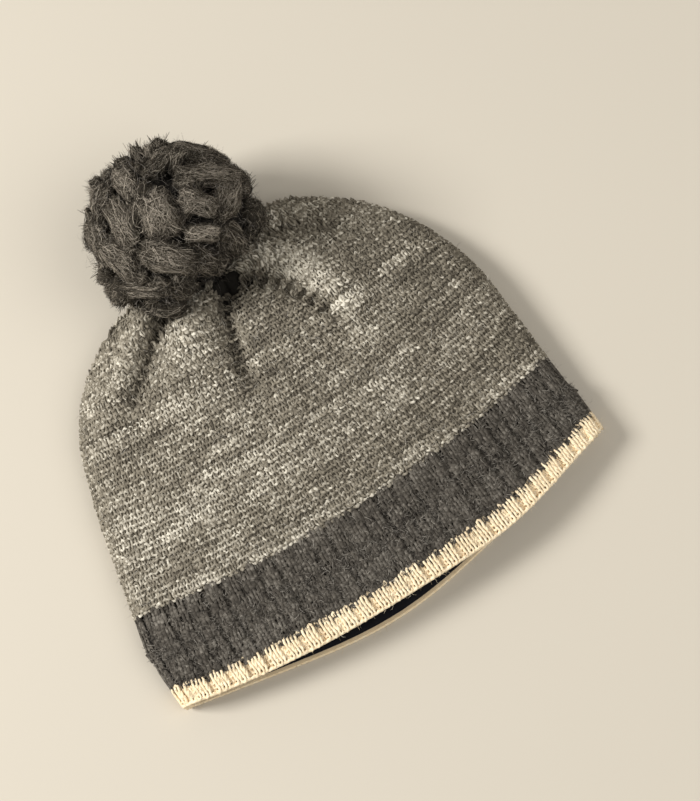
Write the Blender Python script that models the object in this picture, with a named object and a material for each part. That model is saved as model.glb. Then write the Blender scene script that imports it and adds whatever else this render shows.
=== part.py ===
"""A knitted bobble hat lying on its back: crown, ribbed band, cream edge, fleece lining and pompom.

The hat's mouth faces -Y and its pompom +Y, with the front panel up. The origin is the bottom
centre of the whole hat's box, on the flat underside that the hat rests on. All sizes are in metres.
"""

import math
from collections import namedtuple

import bmesh
import bpy
import numpy as np
from mathutils import Vector
from mathutils.bvhtree import BVHTree

# The knitted tube, lying flat
MOUTH_WIDTH = 0.240
BAND_HEIGHT = 0.044
CROWN_HEIGHT = 0.117
EDGE_HEIGHT = 0.009
LOFT = 0.034
FLOOR_PRESS = 0.0008

# Walls and clearances
KNIT_WALL = 0.003
LINING_WALL = 0.002
LINING_SETBACK = 0.002
SEAM_GAP = 0.0003
LINING_GAP = 0.0006
EDGE_ROUND = 0.0009

# Ribs of the band and the edge
RIB_COUNT = 54
RIB_DEPTH = 0.0006

# Depth of the crown's folds
FOLD_DEPTH = 0.009

# The pompom
POMPOM_DIAMETER = 0.083
POMPOM_OFFSET = (-0.0075, 0.0245, 0.0175)
LOCK_COUNT = 46
LOCK_LENGTH = 0.0085
LOCK_WIDTH = 0.0105
POMPOM_CLEARANCE = 0.0006

# How finely each solid is faceted
CROWN_AROUND = 84
RIB_AROUND = 2 * RIB_COUNT
LOOP_SAMPLES = 720
TURN_SHARE = 0.25
BACK_SHARE = 0.45
NORMAL_STEP = 0.004
TURN_STEP = 0.02
POMPOM_POINTS = 1200

# Each section is a closed loop round the hat. Course runs from -1 at the rim, over 0 at the
# seam of band and crown, to 1 at the gather. Widths are shares of half the mouth's width,
# lengths are shares of the band's height below the seam and of the crown's above it, and
# heights are shares of the loft. Shift moves a loop to the right and tilt raises its right
# side, both as shares of half the mouth's width. The sags are how far each panel hangs out
# beyond its bow, as shares of the band's height.
Section = namedtuple(
    "Section",
    "course width shift tilt side_y front_y back_y side_z front_z back_z front_sag back_sag",
)
SECTIONS = (
    Section(-1.00, 0.983, 0.014, 0.016, -1.020, -1.370, -1.330, 0.190, 0.63, 0.00, 0.080, 0.150),
    Section(-0.50, 0.984, 0.008, 0.008, -0.510, -0.850, -0.820, 0.195, 0.71, 0.00, 0.040, 0.075),
    Section(0.00, 0.964, 0.012, 0.000, 0.000, -0.330, -0.330, 0.200, 0.80, 0.00, 0.000, 0.020),
    Section(0.15, 0.935, 0.033, 0.000, 0.248, 0.043, 0.081, 0.210, 0.91, 0.00, 0.000, 0.000),
    Section(0.30, 0.895, 0.053, 0.000, 0.505, 0.205, 0.300, 0.220, 0.98, 0.00, 0.000, 0.000),
    Section(0.45, 0.808, 0.052, 0.004, 0.758, 0.368, 0.517, 0.250, 1.00, 0.00, 0.000, 0.000),
    Section(0.60, 0.655, 0.056, 0.010, 0.962, 0.530, 0.735, 0.300, 0.98, 0.00, 0.000, 0.000),
    Section(0.70, 0.510, 0.058, 0.020, 1.065, 0.641, 0.880, 0.360, 0.93, 0.00, 0.000, 0.000),
    Section(0.80, 0.350, 0.058, 0.028, 1.115, 0.752, 1.025, 0.450, 0.86, 0.05, 0.000, 0.000),
    Section(0.88, 0.215, 0.056, 0.022, 1.095, 0.838, 1.090, 0.540, 0.79, 0.24, 0.000, 0.000),
    Section(0.95, 0.105, 0.053, 0.010, 1.040, 0.915, 1.075, 0.610, 0.72, 0.46, 0.000, 0.000),
    Section(1.00, 0.030, 0.050, 0.000, 1.000, 0.975, 1.030, 0.640, 0.67, 0.60, 0.000, 0.000),
)
FRONT_SAG_MIDDLE = 0.50
BACK_SAG_MIDDLE = -0.30
SAG_REACH = 0.34

# A row bows towards the mouth with a power of the distance from the hat's sides, and the
# front panel domes up with another.
BOW_POWER_AT_RIM = 1.0
BOW_POWER_AT_GATHER = 0.55
DOME_POWER = 1.0

# The sides are rounded over this share of a loop's half width at the most
SIDE_ROUND = 0.75

# Folds run out from the gather. Start, middle and end are places on the front panel, as
# shares of half the mouth's width and of the crown's height, and depth is a share of the
# fold depth, with valleys below zero. Reach is the fold's half width as a share of half
# the mouth's width.
Fold = namedtuple("Fold", "start middle end depth_start depth_end reach")
FRONT_FOLDS = (
    Fold((0.06, 0.98), (-0.05, 0.73), (-0.09, 0.50), -0.90, -0.35, 0.042),
    Fold((-0.17, 1.01), (-0.36, 0.85), (-0.54, 0.69), -1.10, -0.35, 0.045),
    Fold((-0.05, 0.98), (-0.22, 0.80), (-0.40, 0.62), 0.50, 0.15, 0.095),
    Fold((-0.26, 1.02), (-0.41, 0.92), (-0.55, 0.80), 0.60, 0.20, 0.050),
    Fold((-0.36, 1.11), (-0.67, 0.91), (-0.85, 0.58), -0.45, -0.25, 0.034),
    Fold((0.06, 1.04), (0.32, 0.82), (0.37, 0.45), 0.95, 0.25, 0.080),
    Fold((-0.02, 1.01), (0.235, 0.81), (0.335, 0.50), -1.30, -0.25, 0.050),
    Fold((0.14, 1.10), (0.42, 0.99), (0.64, 0.80), -0.40, -0.20, 0.060),
)
BACK_FOLD_COUNT = 5
BACK_FOLD_DEPTH = 0.30
BACK_FOLD_START = 0.78
FOLD_STEPS = 12
VALLEY_POWER = 1.4
RIDGE_POWER = 2.0
FOLD_FADE = 0.10

# Courses at which the solids have a ring of corners
CROWN_RINGS = (0.15, 0.30, 0.40, 0.48, 0.54, 0.60, 0.65, 0.70, 0.75, 0.80, 0.85, 0.90, 0.945, 0.98)
BAND_MIDDLE = -0.42
LINING_CROWN_RINGS = 3

CLOTH = {
    "crown": (0.26, 0.23, 0.18),
    "band": (0.090, 0.080, 0.065),
    "edge_trim": (0.70, 0.56, 0.37),
    "lining": (0.008, 0.008, 0.010),
    "pompom": (0.075, 0.066, 0.052),
}
CLOTH_ROUGHNESS = 0.95


def clear_scene():
    """Removes every object, so that the file holds the hat alone."""
    for old in list(bpy.data.objects):
        bpy.data.objects.remove(old, do_unlink=True)


def along_hat(share):
    """The distance from the seam for a share, which counts band heights below it and crown heights above."""
    return share * (CROWN_HEIGHT if share > 0 else BAND_HEIGHT)


def section_columns():
    """The section table in metres, one array for each column."""
    half = MOUTH_WIDTH / 2
    return {
        "course": np.array([row.course for row in SECTIONS]),
        "width": np.array([row.width * half for row in SECTIONS]),
        "shift": np.array([row.shift * half for row in SECTIONS]),
        "tilt": np.array([row.tilt * half for row in SECTIONS]),
        "front_sag": np.array([row.front_sag * BAND_HEIGHT for row in SECTIONS]),
        "back_sag": np.array([row.back_sag * BAND_HEIGHT for row in SECTIONS]),
        "side_y": np.array([along_hat(row.side_y) for row in SECTIONS]),
        "front_y": np.array([along_hat(row.front_y) for row in SECTIONS]),
        "back_y": np.array([along_hat(row.back_y) for row in SECTIONS]),
        "side_z": np.array([row.side_z * LOFT for row in SECTIONS]),
        "front_z": np.array([row.front_z * LOFT for row in SECTIONS]),
        "back_z": np.array([row.back_z * LOFT for row in SECTIONS]),
    }


def smooth_between(knots, values, at):
    """Values read off a smooth curve through the knots, with slopes taken from the neighbours."""
    slopes = np.gradient(values, knots)
    place = np.clip(np.searchsorted(knots, at) - 1, 0, len(knots) - 2)
    span = knots[place + 1] - knots[place]
    part = (at - knots[place]) / span
    square, cube = part**2, part**3
    return (
        (2 * cube - 3 * square + 1) * values[place]
        + (cube - 2 * square + part) * span * slopes[place]
        + (3 * square - 2 * cube) * values[place + 1]
        + (cube - square) * span * slopes[place + 1]
    )


def section_at(course):
    """The loop sizes at one course, as a dictionary of lengths."""
    columns = section_columns()
    knots = columns.pop("course")
    return {name: float(smooth_between(knots, values, course)) for name, values in columns.items()}


def fold_lift(fold, x, y):
    """How far one fold lifts the points (x, y) of the front panel."""
    half = MOUTH_WIDTH / 2
    ends = [np.array((px * half, py * CROWN_HEIGHT)) for px, py in (fold.start, fold.middle, fold.end)]
    steps = np.linspace(0, 1, FOLD_STEPS)[:, None]
    bend = 2 * ends[1] - (ends[0] + ends[2]) / 2
    line = (1 - steps) ** 2 * ends[0] + 2 * steps * (1 - steps) * bend + steps**2 * ends[2]
    away = np.hypot(x[:, None] - line[None, :, 0], y[:, None] - line[None, :, 1])
    nearest = away.argmin(axis=1)
    part = nearest / (FOLD_STEPS - 1)
    depth = fold.depth_start + (fold.depth_end - fold.depth_start) * part
    reach = fold.reach * half * (1 + 0.5 * part)
    power = VALLEY_POWER if fold.depth_start < 0 else RIDGE_POWER
    return FOLD_DEPTH * depth * np.exp(-((away.min(axis=1) / reach) ** power))


def back_fold_lift(course, turn):
    """Gathers under the hat near its top, where the photograph shows nothing."""
    if course <= BACK_FOLD_START:
        return np.zeros_like(turn)
    part = (course - BACK_FOLD_START) / (1 - BACK_FOLD_START)
    wave = np.cos(BACK_FOLD_COUNT * np.cos(turn)) ** 2
    return FOLD_DEPTH * BACK_FOLD_DEPTH * 4 * part * (1 - part) * wave


def side_rounding(distance, radius):
    """A quarter circle: 0 at the hat's side, rising to 1 at one radius from it."""
    left = np.clip(1 - distance / radius, 0, 1)
    return np.sqrt(1 - left**2)


def plain_loop(course, turn):
    """The loop at a course without its folds. Turns run from the left side over the front and back below."""
    size = section_at(course)
    across = -np.cos(turn)
    front = np.sin(turn) >= 0
    inward = 1 - across**2
    toward_gather = min(1.0, max(0.0, course))
    bow = inward ** (BOW_POWER_AT_RIM + (BOW_POWER_AT_GATHER - BOW_POWER_AT_RIM) * toward_gather)
    x = size["shift"] + size["width"] * across
    middle_y = np.where(front, size["front_y"], size["back_y"])
    sag_middle = np.where(front, FRONT_SAG_MIDDLE, BACK_SAG_MIDDLE)
    sag = np.where(front, size["front_sag"], size["back_sag"])
    y = size["side_y"] + size["tilt"] * across + (middle_y - size["side_y"]) * bow
    y -= sag * np.exp(-(((across - sag_middle) / SAG_REACH) ** 2)) * np.sqrt(inward)
    drop = size["side_z"] - size["back_z"] + FLOOR_PRESS
    rounding = side_rounding(
        size["width"] * (1 - np.abs(across)), min(drop, SIDE_ROUND * size["width"])
    )
    climb = size["front_z"] - size["side_z"]
    turned_up = min(climb, drop)
    top = turned_up * rounding + (climb - turned_up) * inward**DOME_POWER
    z = size["side_z"] + np.where(front, top, -drop * rounding)
    return np.column_stack([x, y, z])


def folded_loop(course, turn):
    """The loop at a course with its folds, and with nothing below the floor."""
    points = plain_loop(course, turn)
    width = section_at(course)["width"]
    front = np.sin(turn) >= 0
    lift = np.zeros(len(points))
    for fold in FRONT_FOLDS:
        lift += fold_lift(fold, points[:, 0], points[:, 1])
    rounding = side_rounding(width * (1 - np.abs(np.cos(turn))), FOLD_FADE * width)
    points[:, 2] += np.where(front, lift * rounding, back_fold_lift(course, turn) * rounding)
    points[:, 2] = np.maximum(points[:, 2], 0)
    return points


def spaced_turns(course, count, even):
    """Turns at which to put a loop's points: evenly along it, or closer on the front and round the bends."""
    turn = np.linspace(0, 2 * math.pi, LOOP_SAMPLES + 1)
    legs = np.diff(plain_loop(course, turn), axis=0)
    step = np.linalg.norm(legs, axis=1)
    if not even:
        heading = np.arctan2(legs[:, 2], legs[:, 0])
        turned = np.abs((heading - np.roll(heading, 1) + math.pi) % (2 * math.pi) - math.pi)
        step[LOOP_SAMPLES // 2 :] *= BACK_SHARE
        step = (1 - TURN_SHARE) * step / step.sum() + TURN_SHARE * turned / turned.sum()
    run = np.concatenate([[0], np.cumsum(step)])
    return np.interp(np.linspace(0, run[-1], count, endpoint=False), run, turn)


def outward_normals(course, turn):
    """The cloth's outward direction at each turn of a loop."""
    low, high = max(-1.0, course - NORMAL_STEP), min(1.0, course + NORMAL_STEP)
    round_loop = folded_loop(course, turn + TURN_STEP) - folded_loop(course, turn - TURN_STEP)
    up_hat = folded_loop(high, turn) - folded_loop(low, turn)
    out = np.cross(round_loop, up_hat)
    length = np.linalg.norm(out, axis=1, keepdims=True)
    return out / np.maximum(length, 1e-12)


def cloth_loop(course, count, inset, even=False):
    """Points of the loop at a course, a given distance inside the hat's outer face."""
    turn = spaced_turns(course, count, even)
    return folded_loop(course, turn) - inset * outward_normals(course, turn)


def ribbed_loop(course):
    """An evenly spaced outer loop with every second point drawn in, which makes the grooves between ribs."""
    crests = cloth_loop(course, RIB_AROUND, 0, even=True)
    grooves = cloth_loop(course, RIB_AROUND, RIB_DEPTH, even=True)
    crests[1::2] = grooves[1::2]
    crests[:, 2] = np.maximum(crests[:, 2], 0)
    return crests


def add_strip(mesh, first, second):
    """Joins two rings with triangles, whose diagonals lean alike on both faces of the cloth."""
    toward_gather = sum(corner.co.y for corner in second) > sum(corner.co.y for corner in first)
    for corner, here in enumerate(first):
        after = (corner + 1) % len(first)
        if toward_gather:
            mesh.faces.new((here, first[after], second[after]))
            mesh.faces.new((here, second[after], second[corner]))
        else:
            mesh.faces.new((here, first[after], second[corner]))
            mesh.faces.new((first[after], second[after], second[corner]))


def add_rings(mesh, rings):
    """Adds each ring's points to the mesh and joins neighbouring rings. Returns the rings' corners."""
    made = [[mesh.verts.new(point) for point in ring] for ring in rings]
    for first, second in zip(made, made[1:]):
        add_strip(mesh, first, second)
    return made


def close_end(mesh, ring, centre):
    """Closes a ring with a fan of triangles to one point."""
    tip = mesh.verts.new(centre)
    for corner, here in enumerate(ring):
        mesh.faces.new((here, ring[(corner + 1) % len(ring)], tip))


def cloth_object(name, mesh):
    """Makes the object of a finished mesh, with its faces out and its own wool."""
    bmesh.ops.recalc_face_normals(mesh, faces=mesh.faces[:])
    data = bpy.data.meshes.new(name)
    mesh.to_mesh(data)
    mesh.free()
    data.materials.append(wool(name))
    data.shade_smooth()
    made = bpy.data.objects.new(name, data)
    bpy.context.scene.collection.objects.link(made)
    return made


def wool(name):
    """The plain material of one piece."""
    material = bpy.data.materials.new(name)
    material.use_nodes = True
    shader = material.node_tree.nodes["Principled BSDF"]
    shader.inputs["Base Color"].default_value = (*CLOTH[name], 1)
    shader.inputs["Roughness"].default_value = CLOTH_ROUGHNESS
    shader.inputs["Metallic"].default_value = 0
    return material


def seam_course(height):
    """The course at a height above the rim, inside the band."""
    return height / BAND_HEIGHT - 1


def crown_courses():
    """The courses of the crown's rings, from just past the seam to the gather."""
    return (SEAM_GAP / 2 / CROWN_HEIGHT, *CROWN_RINGS)


def add_crown():
    """The marled crown: a hollow dome from the seam to the gather, closed at its top."""
    courses = crown_courses()
    outer = [cloth_loop(course, CROWN_AROUND, 0) for course in courses]
    inner = [cloth_loop(course, CROWN_AROUND, KNIT_WALL) for course in courses[:-1]]
    mesh = bmesh.new()
    rings = add_rings(mesh, [*inner[::-1], *outer])
    close_end(mesh, rings[-1], outer[-1].mean(axis=0))
    close_end(mesh, rings[0], inner[-1].mean(axis=0))
    return cloth_object("crown", mesh)


def cloth_ring(name, rings):
    """An open ring of cloth from its rings of corners, given in order round its section."""
    mesh = bmesh.new()
    made = add_rings(mesh, rings)
    add_strip(mesh, made[-1], made[0])
    return cloth_object(name, mesh)


def add_ribbed_ring(name, courses, rounded):
    """A ribbed ring of knitting with a ring of corners at each course, and a rounded rim if asked."""
    outer = [ribbed_loop(course) for course in courses]
    inner = [cloth_loop(course, RIB_AROUND, KNIT_WALL, even=True) for course in reversed(courses)]
    lip = []
    if rounded:
        lip = [cloth_loop(courses[0], RIB_AROUND, KNIT_WALL / 2, even=True)]
        lip[0][:, 1] -= EDGE_ROUND
    return cloth_ring(name, [*inner, *lip, *outer])


def add_edge_trim():
    """The cream ribbed edge round the mouth."""
    courses = (seam_course(EDGE_ROUND), seam_course(EDGE_HEIGHT - SEAM_GAP / 2))
    return add_ribbed_ring("edge_trim", courses, True)


def add_band():
    """The charcoal ribbed band between the edge and the crown."""
    courses = (
        seam_course(EDGE_HEIGHT + SEAM_GAP / 2), BAND_MIDDLE, seam_course(BAND_HEIGHT - SEAM_GAP / 2)
    )
    return add_ribbed_ring("band", courses, False)


def add_lining():
    """The fleece lining: a ring of thin cloth inside the band and lower crown, just short of the rim."""
    courses = (seam_course(LINING_SETBACK), BAND_MIDDLE, *crown_courses()[:LINING_CROWN_RINGS])
    outside = KNIT_WALL + LINING_GAP
    outer = [cloth_loop(course, CROWN_AROUND, outside) for course in courses]
    inner = [cloth_loop(course, CROWN_AROUND, outside + LINING_WALL) for course in reversed(courses)]
    return cloth_ring("lining", [*inner, *outer])


def sphere_directions(count):
    """Directions spread evenly over a sphere on a golden spiral."""
    index = np.arange(count) + 0.5
    height = 1 - 2 * index / count
    turn = math.pi * (1 + math.sqrt(5)) * index
    radius = np.sqrt(1 - height**2)
    return np.column_stack([radius * np.cos(turn), radius * np.sin(turn), height])


def lock_lobes(directions):
    """How far the nearest lock of yarn stands out at each direction, from 0 in a crease to 1 on its crest."""
    half_angle = LOCK_WIDTH / (POMPOM_DIAMETER / 2)
    crest = np.zeros(len(directions))
    for index, centre in enumerate(sphere_directions(LOCK_COUNT)):
        twist = 2.4 * index
        helper = np.array((math.cos(twist), math.sin(twist), 0.3))
        long_way = np.cross(centre, helper)
        long_way /= np.linalg.norm(long_way)
        wide_way = np.cross(centre, long_way)
        reach = 1.5 + 0.3 * math.sin(5.1 * index)
        along = directions @ long_way / (half_angle * reach)
        across = directions @ wide_way / half_angle
        facing = directions @ centre > 0
        lobe = np.sqrt(np.clip(1 - (along / 1.35) ** 2 - (across / 1.35) ** 2, 0, 1))
        size = 1 + 0.12 * math.sin(3.7 * index)
        crest = np.maximum(crest, np.where(facing, lobe * size, 0))
    return crest


def free_reach(centre, directions, crown):
    """How far the pompom may reach in each direction before it meets the crown."""
    graph = bpy.context.evaluated_depsgraph_get()
    tree = BVHTree.FromObject(crown, graph)
    distances = []
    for direction in directions:
        hit = tree.ray_cast(centre, Vector(direction))
        distances.append(hit[3] if hit[3] is not None else POMPOM_DIAMETER)
    distances = np.array(distances)
    near = directions @ directions.T > math.cos(2 * math.sqrt(4 * math.pi / POMPOM_POINTS))
    return np.where(near, distances[None, :], POMPOM_DIAMETER).min(axis=1) - POMPOM_CLEARANCE


def add_pompom(crown):
    """The pompom: locks of yarn fused to a round head that nests against the gather."""
    gather = cloth_loop(1.0, CROWN_AROUND, 0).mean(axis=0)
    centre = Vector(gather) + Vector(POMPOM_OFFSET)
    directions = sphere_directions(POMPOM_POINTS)
    head = POMPOM_DIAMETER / 2 - LOCK_LENGTH
    reach = head + LOCK_LENGTH * lock_lobes(directions)
    reach = np.minimum(reach, free_reach(centre, directions, crown))
    mesh = bmesh.new()
    for direction in directions:
        mesh.verts.new(direction)
    bmesh.ops.convex_hull(mesh, input=mesh.verts[:])
    mesh.verts.ensure_lookup_table()
    for vertex, direction, length in zip(mesh.verts, directions, reach):
        place = centre + Vector(direction) * length
        place.z = max(place.z, 0.0)
        vertex.co = place
    return cloth_object("pompom", mesh)


def centre_hat(pieces):
    """Moves the pieces together, so that the origin is the bottom centre of their common box."""
    corners = np.array([vertex.co for piece in pieces for vertex in piece.data.vertices])
    low, high = corners.min(axis=0), corners.max(axis=0)
    centre = Vector(((low[0] + high[0]) / 2, (low[1] + high[1]) / 2, low[2]))
    for piece in pieces:
        for vertex in piece.data.vertices:
            vertex.co -= centre


def main():
    clear_scene()
    crown = add_crown()
    bpy.context.view_layer.update()
    centre_hat([crown, add_band(), add_edge_trim(), add_lining(), add_pompom(crown)])


main()
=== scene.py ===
"""A knitted bobble beanie lying on its back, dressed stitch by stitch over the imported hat.

The crown is marled purl knitting, the band is charcoal rib, the edge is cream rib, the lining is
black fleece and the pompom is bundles of cut wool. Every length is in metres, in the hat's frame:
the mouth faces -Y, the pompom +Y, and the front panel is up.
"""

from __future__ import annotations

import logging
import math
from dataclasses import dataclass, field
from enum import Enum
from typing import Any, NamedTuple

import bpy
import numpy as np
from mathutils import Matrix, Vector
from mathutils.bvhtree import BVHTree

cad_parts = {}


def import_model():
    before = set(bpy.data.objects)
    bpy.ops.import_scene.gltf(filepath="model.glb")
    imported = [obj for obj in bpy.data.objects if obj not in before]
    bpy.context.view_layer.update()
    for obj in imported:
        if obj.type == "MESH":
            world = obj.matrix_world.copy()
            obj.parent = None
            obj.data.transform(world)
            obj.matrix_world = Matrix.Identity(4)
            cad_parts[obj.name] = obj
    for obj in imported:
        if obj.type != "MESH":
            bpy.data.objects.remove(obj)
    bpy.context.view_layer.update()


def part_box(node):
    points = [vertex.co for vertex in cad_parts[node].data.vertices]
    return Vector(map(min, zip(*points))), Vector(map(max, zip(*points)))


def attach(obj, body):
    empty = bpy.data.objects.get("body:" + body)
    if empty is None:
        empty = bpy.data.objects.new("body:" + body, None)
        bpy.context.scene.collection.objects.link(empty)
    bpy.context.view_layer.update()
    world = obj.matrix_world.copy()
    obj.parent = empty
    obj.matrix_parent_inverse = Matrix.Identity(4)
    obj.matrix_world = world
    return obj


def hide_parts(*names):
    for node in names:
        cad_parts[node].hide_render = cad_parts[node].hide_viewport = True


LOG = logging.getLogger("beanie")
Array = np.ndarray
ROOT = "root"
TAU = 2 * math.pi
BAKE_MAP = "OFBake"
YARN_NUMBERS = ("run", "strand", "tone", "turn")
QUAD_CORNERS = ((0, 0), (1, 0), (1, 1), (0, 1))


# Shader wiring: values with operators, and one method that adds any node.


class Wire:
    """A shader value that Python's operators can work with."""

    def __init__(self, tree: bpy.types.NodeTree, socket: bpy.types.NodeSocket) -> None:
        """Keeps the tree and the output socket that carries the value."""
        self.tree = tree
        self.socket = socket

    def joined(self, operation: str, *others: Wire | float, first: Wire | float | None = None) -> Wire:
        """Adds a Math node.

        Args:
            operation: The Math node's operation.
            others: The inputs after the first one.
            first: The first input, where it isn't this value.

        Returns:
            The node's result.
        """
        node = self.tree.nodes.new("ShaderNodeMath")
        node.operation = operation
        for place, value in enumerate((self if first is None else first, *others)):
            if isinstance(value, Wire):
                self.tree.links.new(value.socket, node.inputs[place])
            else:
                node.inputs[place].default_value = value
        return Wire(self.tree, node.outputs[0])

    def __add__(self, other: Wire | float) -> Wire:
        """Adds."""
        return self.joined("ADD", other)

    __radd__ = __add__

    def __mul__(self, other: Wire | float) -> Wire:
        """Multiplies."""
        return self.joined("MULTIPLY", other)

    __rmul__ = __mul__

    def __sub__(self, other: Wire | float) -> Wire:
        """Takes the other value away."""
        return self.joined("SUBTRACT", other)

    def __rsub__(self, other: float) -> Wire:
        """Takes this value away from a number."""
        return self.joined("SUBTRACT", self, first=other)

    def sine(self) -> Wire:
        """The sine of this value."""
        return self.joined("SINE")

    def held(self) -> Wire:
        """This value held between 0 and 1."""
        return self.joined("MINIMUM", 1.0).joined("MAXIMUM", 0.0)


class Recipe:
    """One material and the nodes that make its finish."""

    def __init__(self, name: str) -> None:
        """Makes the material with a plain Principled shader."""
        self.material = bpy.data.materials.new(name)
        self.material.use_nodes = True
        self.tree = self.material.node_tree
        self.shader = self.tree.nodes["Principled BSDF"]

    def node(self, kind: str, settings: dict[str, Any], sockets: dict[Any, Any]) -> bpy.types.Node:
        """Adds one node.

        Args:
            kind: The node's type.
            settings: Its settings, which are set first.
            sockets: Values, wires or output sockets for its inputs, by name or place.

        Returns:
            The node.
        """
        made = self.tree.nodes.new(kind)
        for name, value in settings.items():
            setattr(made, name, value)
        for name, value in sockets.items():
            if isinstance(value, Wire):
                value = value.socket
            if isinstance(value, bpy.types.NodeSocket):
                self.tree.links.new(value, made.inputs[name])
            else:
                made.inputs[name].default_value = value
        return made

    def wire(self, node: bpy.types.Node, output: str | int = 0) -> Wire:
        """One output of a node, ready for expressions."""
        return Wire(self.tree, node.outputs[output])

    def attribute(self, name: str) -> Wire:
        """A number stored on the mesh."""
        node = self.node("ShaderNodeAttribute", {"attribute_name": name}, {})
        return self.wire(node, "Fac")

    def noise(self, place: bpy.types.NodeSocket, scale: float, detail: float = 2.0) -> Wire:
        """Soft noise from 0 to 1 at a place.

        Args:
            place: The socket with the coordinates.
            scale: Cycles for each unit of the coordinates.
            detail: How many finer layers it has.

        Returns:
            The noise.
        """
        node = self.node(
            "ShaderNodeTexNoise", {}, {"Vector": place, "Scale": scale, "Detail": detail, "Roughness": 0.6}
        )
        return self.wire(node, "Fac")

    def place(self, x: Wire | float, y: Wire | float, z: Wire | float) -> bpy.types.NodeSocket:
        """Three numbers as one coordinate."""
        return self.node("ShaderNodeCombineXYZ", {}, {"X": x, "Y": y, "Z": z}).outputs[0]

    def blend(self, factor: Wire, first: Any, second: Any) -> bpy.types.NodeSocket:
        """Mixes two colours.

        Args:
            factor: 0 for the first colour, 1 for the second.
            first: A colour or a socket.
            second: A colour or a socket.

        Returns:
            The mixed colour.
        """
        first, second = ((*c, 1.0) if isinstance(c, tuple) else c for c in (first, second))
        node = self.node("ShaderNodeMix", {"data_type": "RGBA"}, {0: factor, 6: first, 7: second})
        return node.outputs[2]

    def finish(
        self, colour: bpy.types.NodeSocket, relief: Wire, depth: float, roughness: float
    ) -> bpy.types.Material:
        """Feeds the shader.

        Args:
            colour: The base colour.
            relief: Height of the small relief, from 0 to 1.
            depth: What a relief of 1 is in metres.
            roughness: The roughness all over.

        Returns:
            The finished material.
        """
        bump = self.node("ShaderNodeBump", {}, {"Height": relief, "Distance": depth, "Strength": 1.0})
        self.tree.links.new(colour, self.shader.inputs["Base Color"])
        self.tree.links.new(bump.outputs[0], self.shader.inputs["Normal"])
        self.shader.inputs["Roughness"].default_value = roughness
        self.shader.inputs["Specular IOR Level"].default_value = 0.2
        return self.material


@dataclass(frozen=True)
class YarnFinish:
    """Plied wool with marled fibres. Colours go from the darkest fibres to the lightest."""

    name: str
    dark: tuple[float, float, float]
    middle: tuple[float, float, float]
    light: tuple[float, float, float]
    marl: float
    heather: float
    twist: float
    streaks_and_shade: float
    marl_length: float = 0.006
    heather_length: float = 0.0012
    twist_length: float = 0.0042
    relief: float = 0.00018
    roughness: float = 0.93

    def material(self) -> bpy.types.Material:
        """The material, which reads the yarn's run, strand, tone and turn from the mesh."""
        recipe = Recipe(self.name)
        run, strand, tone, turn = (recipe.attribute(name) for name in YARN_NUMBERS)
        along = recipe.place(run * (1 / self.marl_length), strand * 7.31, 0.0)
        fine = recipe.place(run * (1 / self.heather_length), strand * 3.17, turn * 2.0)
        marl = recipe.noise(along, 1.0, 1.0) - 0.5
        heather = recipe.noise(fine, 1.0, 2.0) - 0.5
        ply = (run * (TAU / self.twist_length) + turn * TAU).sine()
        # tone carries the wool's own streaks and also the painted light and shade that the knitting and the pompom lay
        # on it.
        level = 0.5 + marl * (2 * self.marl) + heather * (2 * self.heather) + ply * self.twist + tone * self.streaks_and_shade
        level = level.held()
        low = recipe.blend((level * 2.0).held(), self.dark, self.middle)
        colour = recipe.blend((level * 2.0 - 1.0).held(), low, self.light)
        return recipe.finish(colour, heather + 0.5 + ply * 0.25, self.relief, self.roughness)


@dataclass(frozen=True)
class ClothFinish:
    """Plain cloth under the yarn, or brushed fleece."""

    name: str
    dark: tuple[float, float, float]
    light: tuple[float, float, float]
    grain: float
    relief: float
    roughness: float = 0.95

    def material(self) -> bpy.types.Material:
        """The material, with its grain fixed to the object's own coordinates."""
        recipe = Recipe(self.name)
        place = recipe.node("ShaderNodeTexCoord", {}, {}).outputs["Object"]
        fibres = recipe.noise(place, 1 / self.grain, 3.0)
        broad = recipe.noise(place, 0.2 / self.grain, 1.0)
        colour = recipe.blend((fibres * 0.7 + broad * 0.6 - 0.15).held(), self.dark, self.light)
        return recipe.finish(colour, fibres, self.relief, self.roughness)


# The hat's form: the tables of its solids, and rows of knitting laid on them.


class Section(NamedTuple):
    """A closed loop round the hat, as shares of the hat's sizes."""

    course: float
    width: float
    shift: float
    tilt: float
    side_y: float
    front_y: float
    back_y: float
    side_z: float
    front_z: float
    back_z: float
    front_sag: float
    back_sag: float


class Fold(NamedTuple):
    """A fold of the front panel that runs out from the gather."""

    start: tuple[float, float]
    middle: tuple[float, float]
    end: tuple[float, float]
    depth_start: float
    depth_end: float
    reach: float


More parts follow.
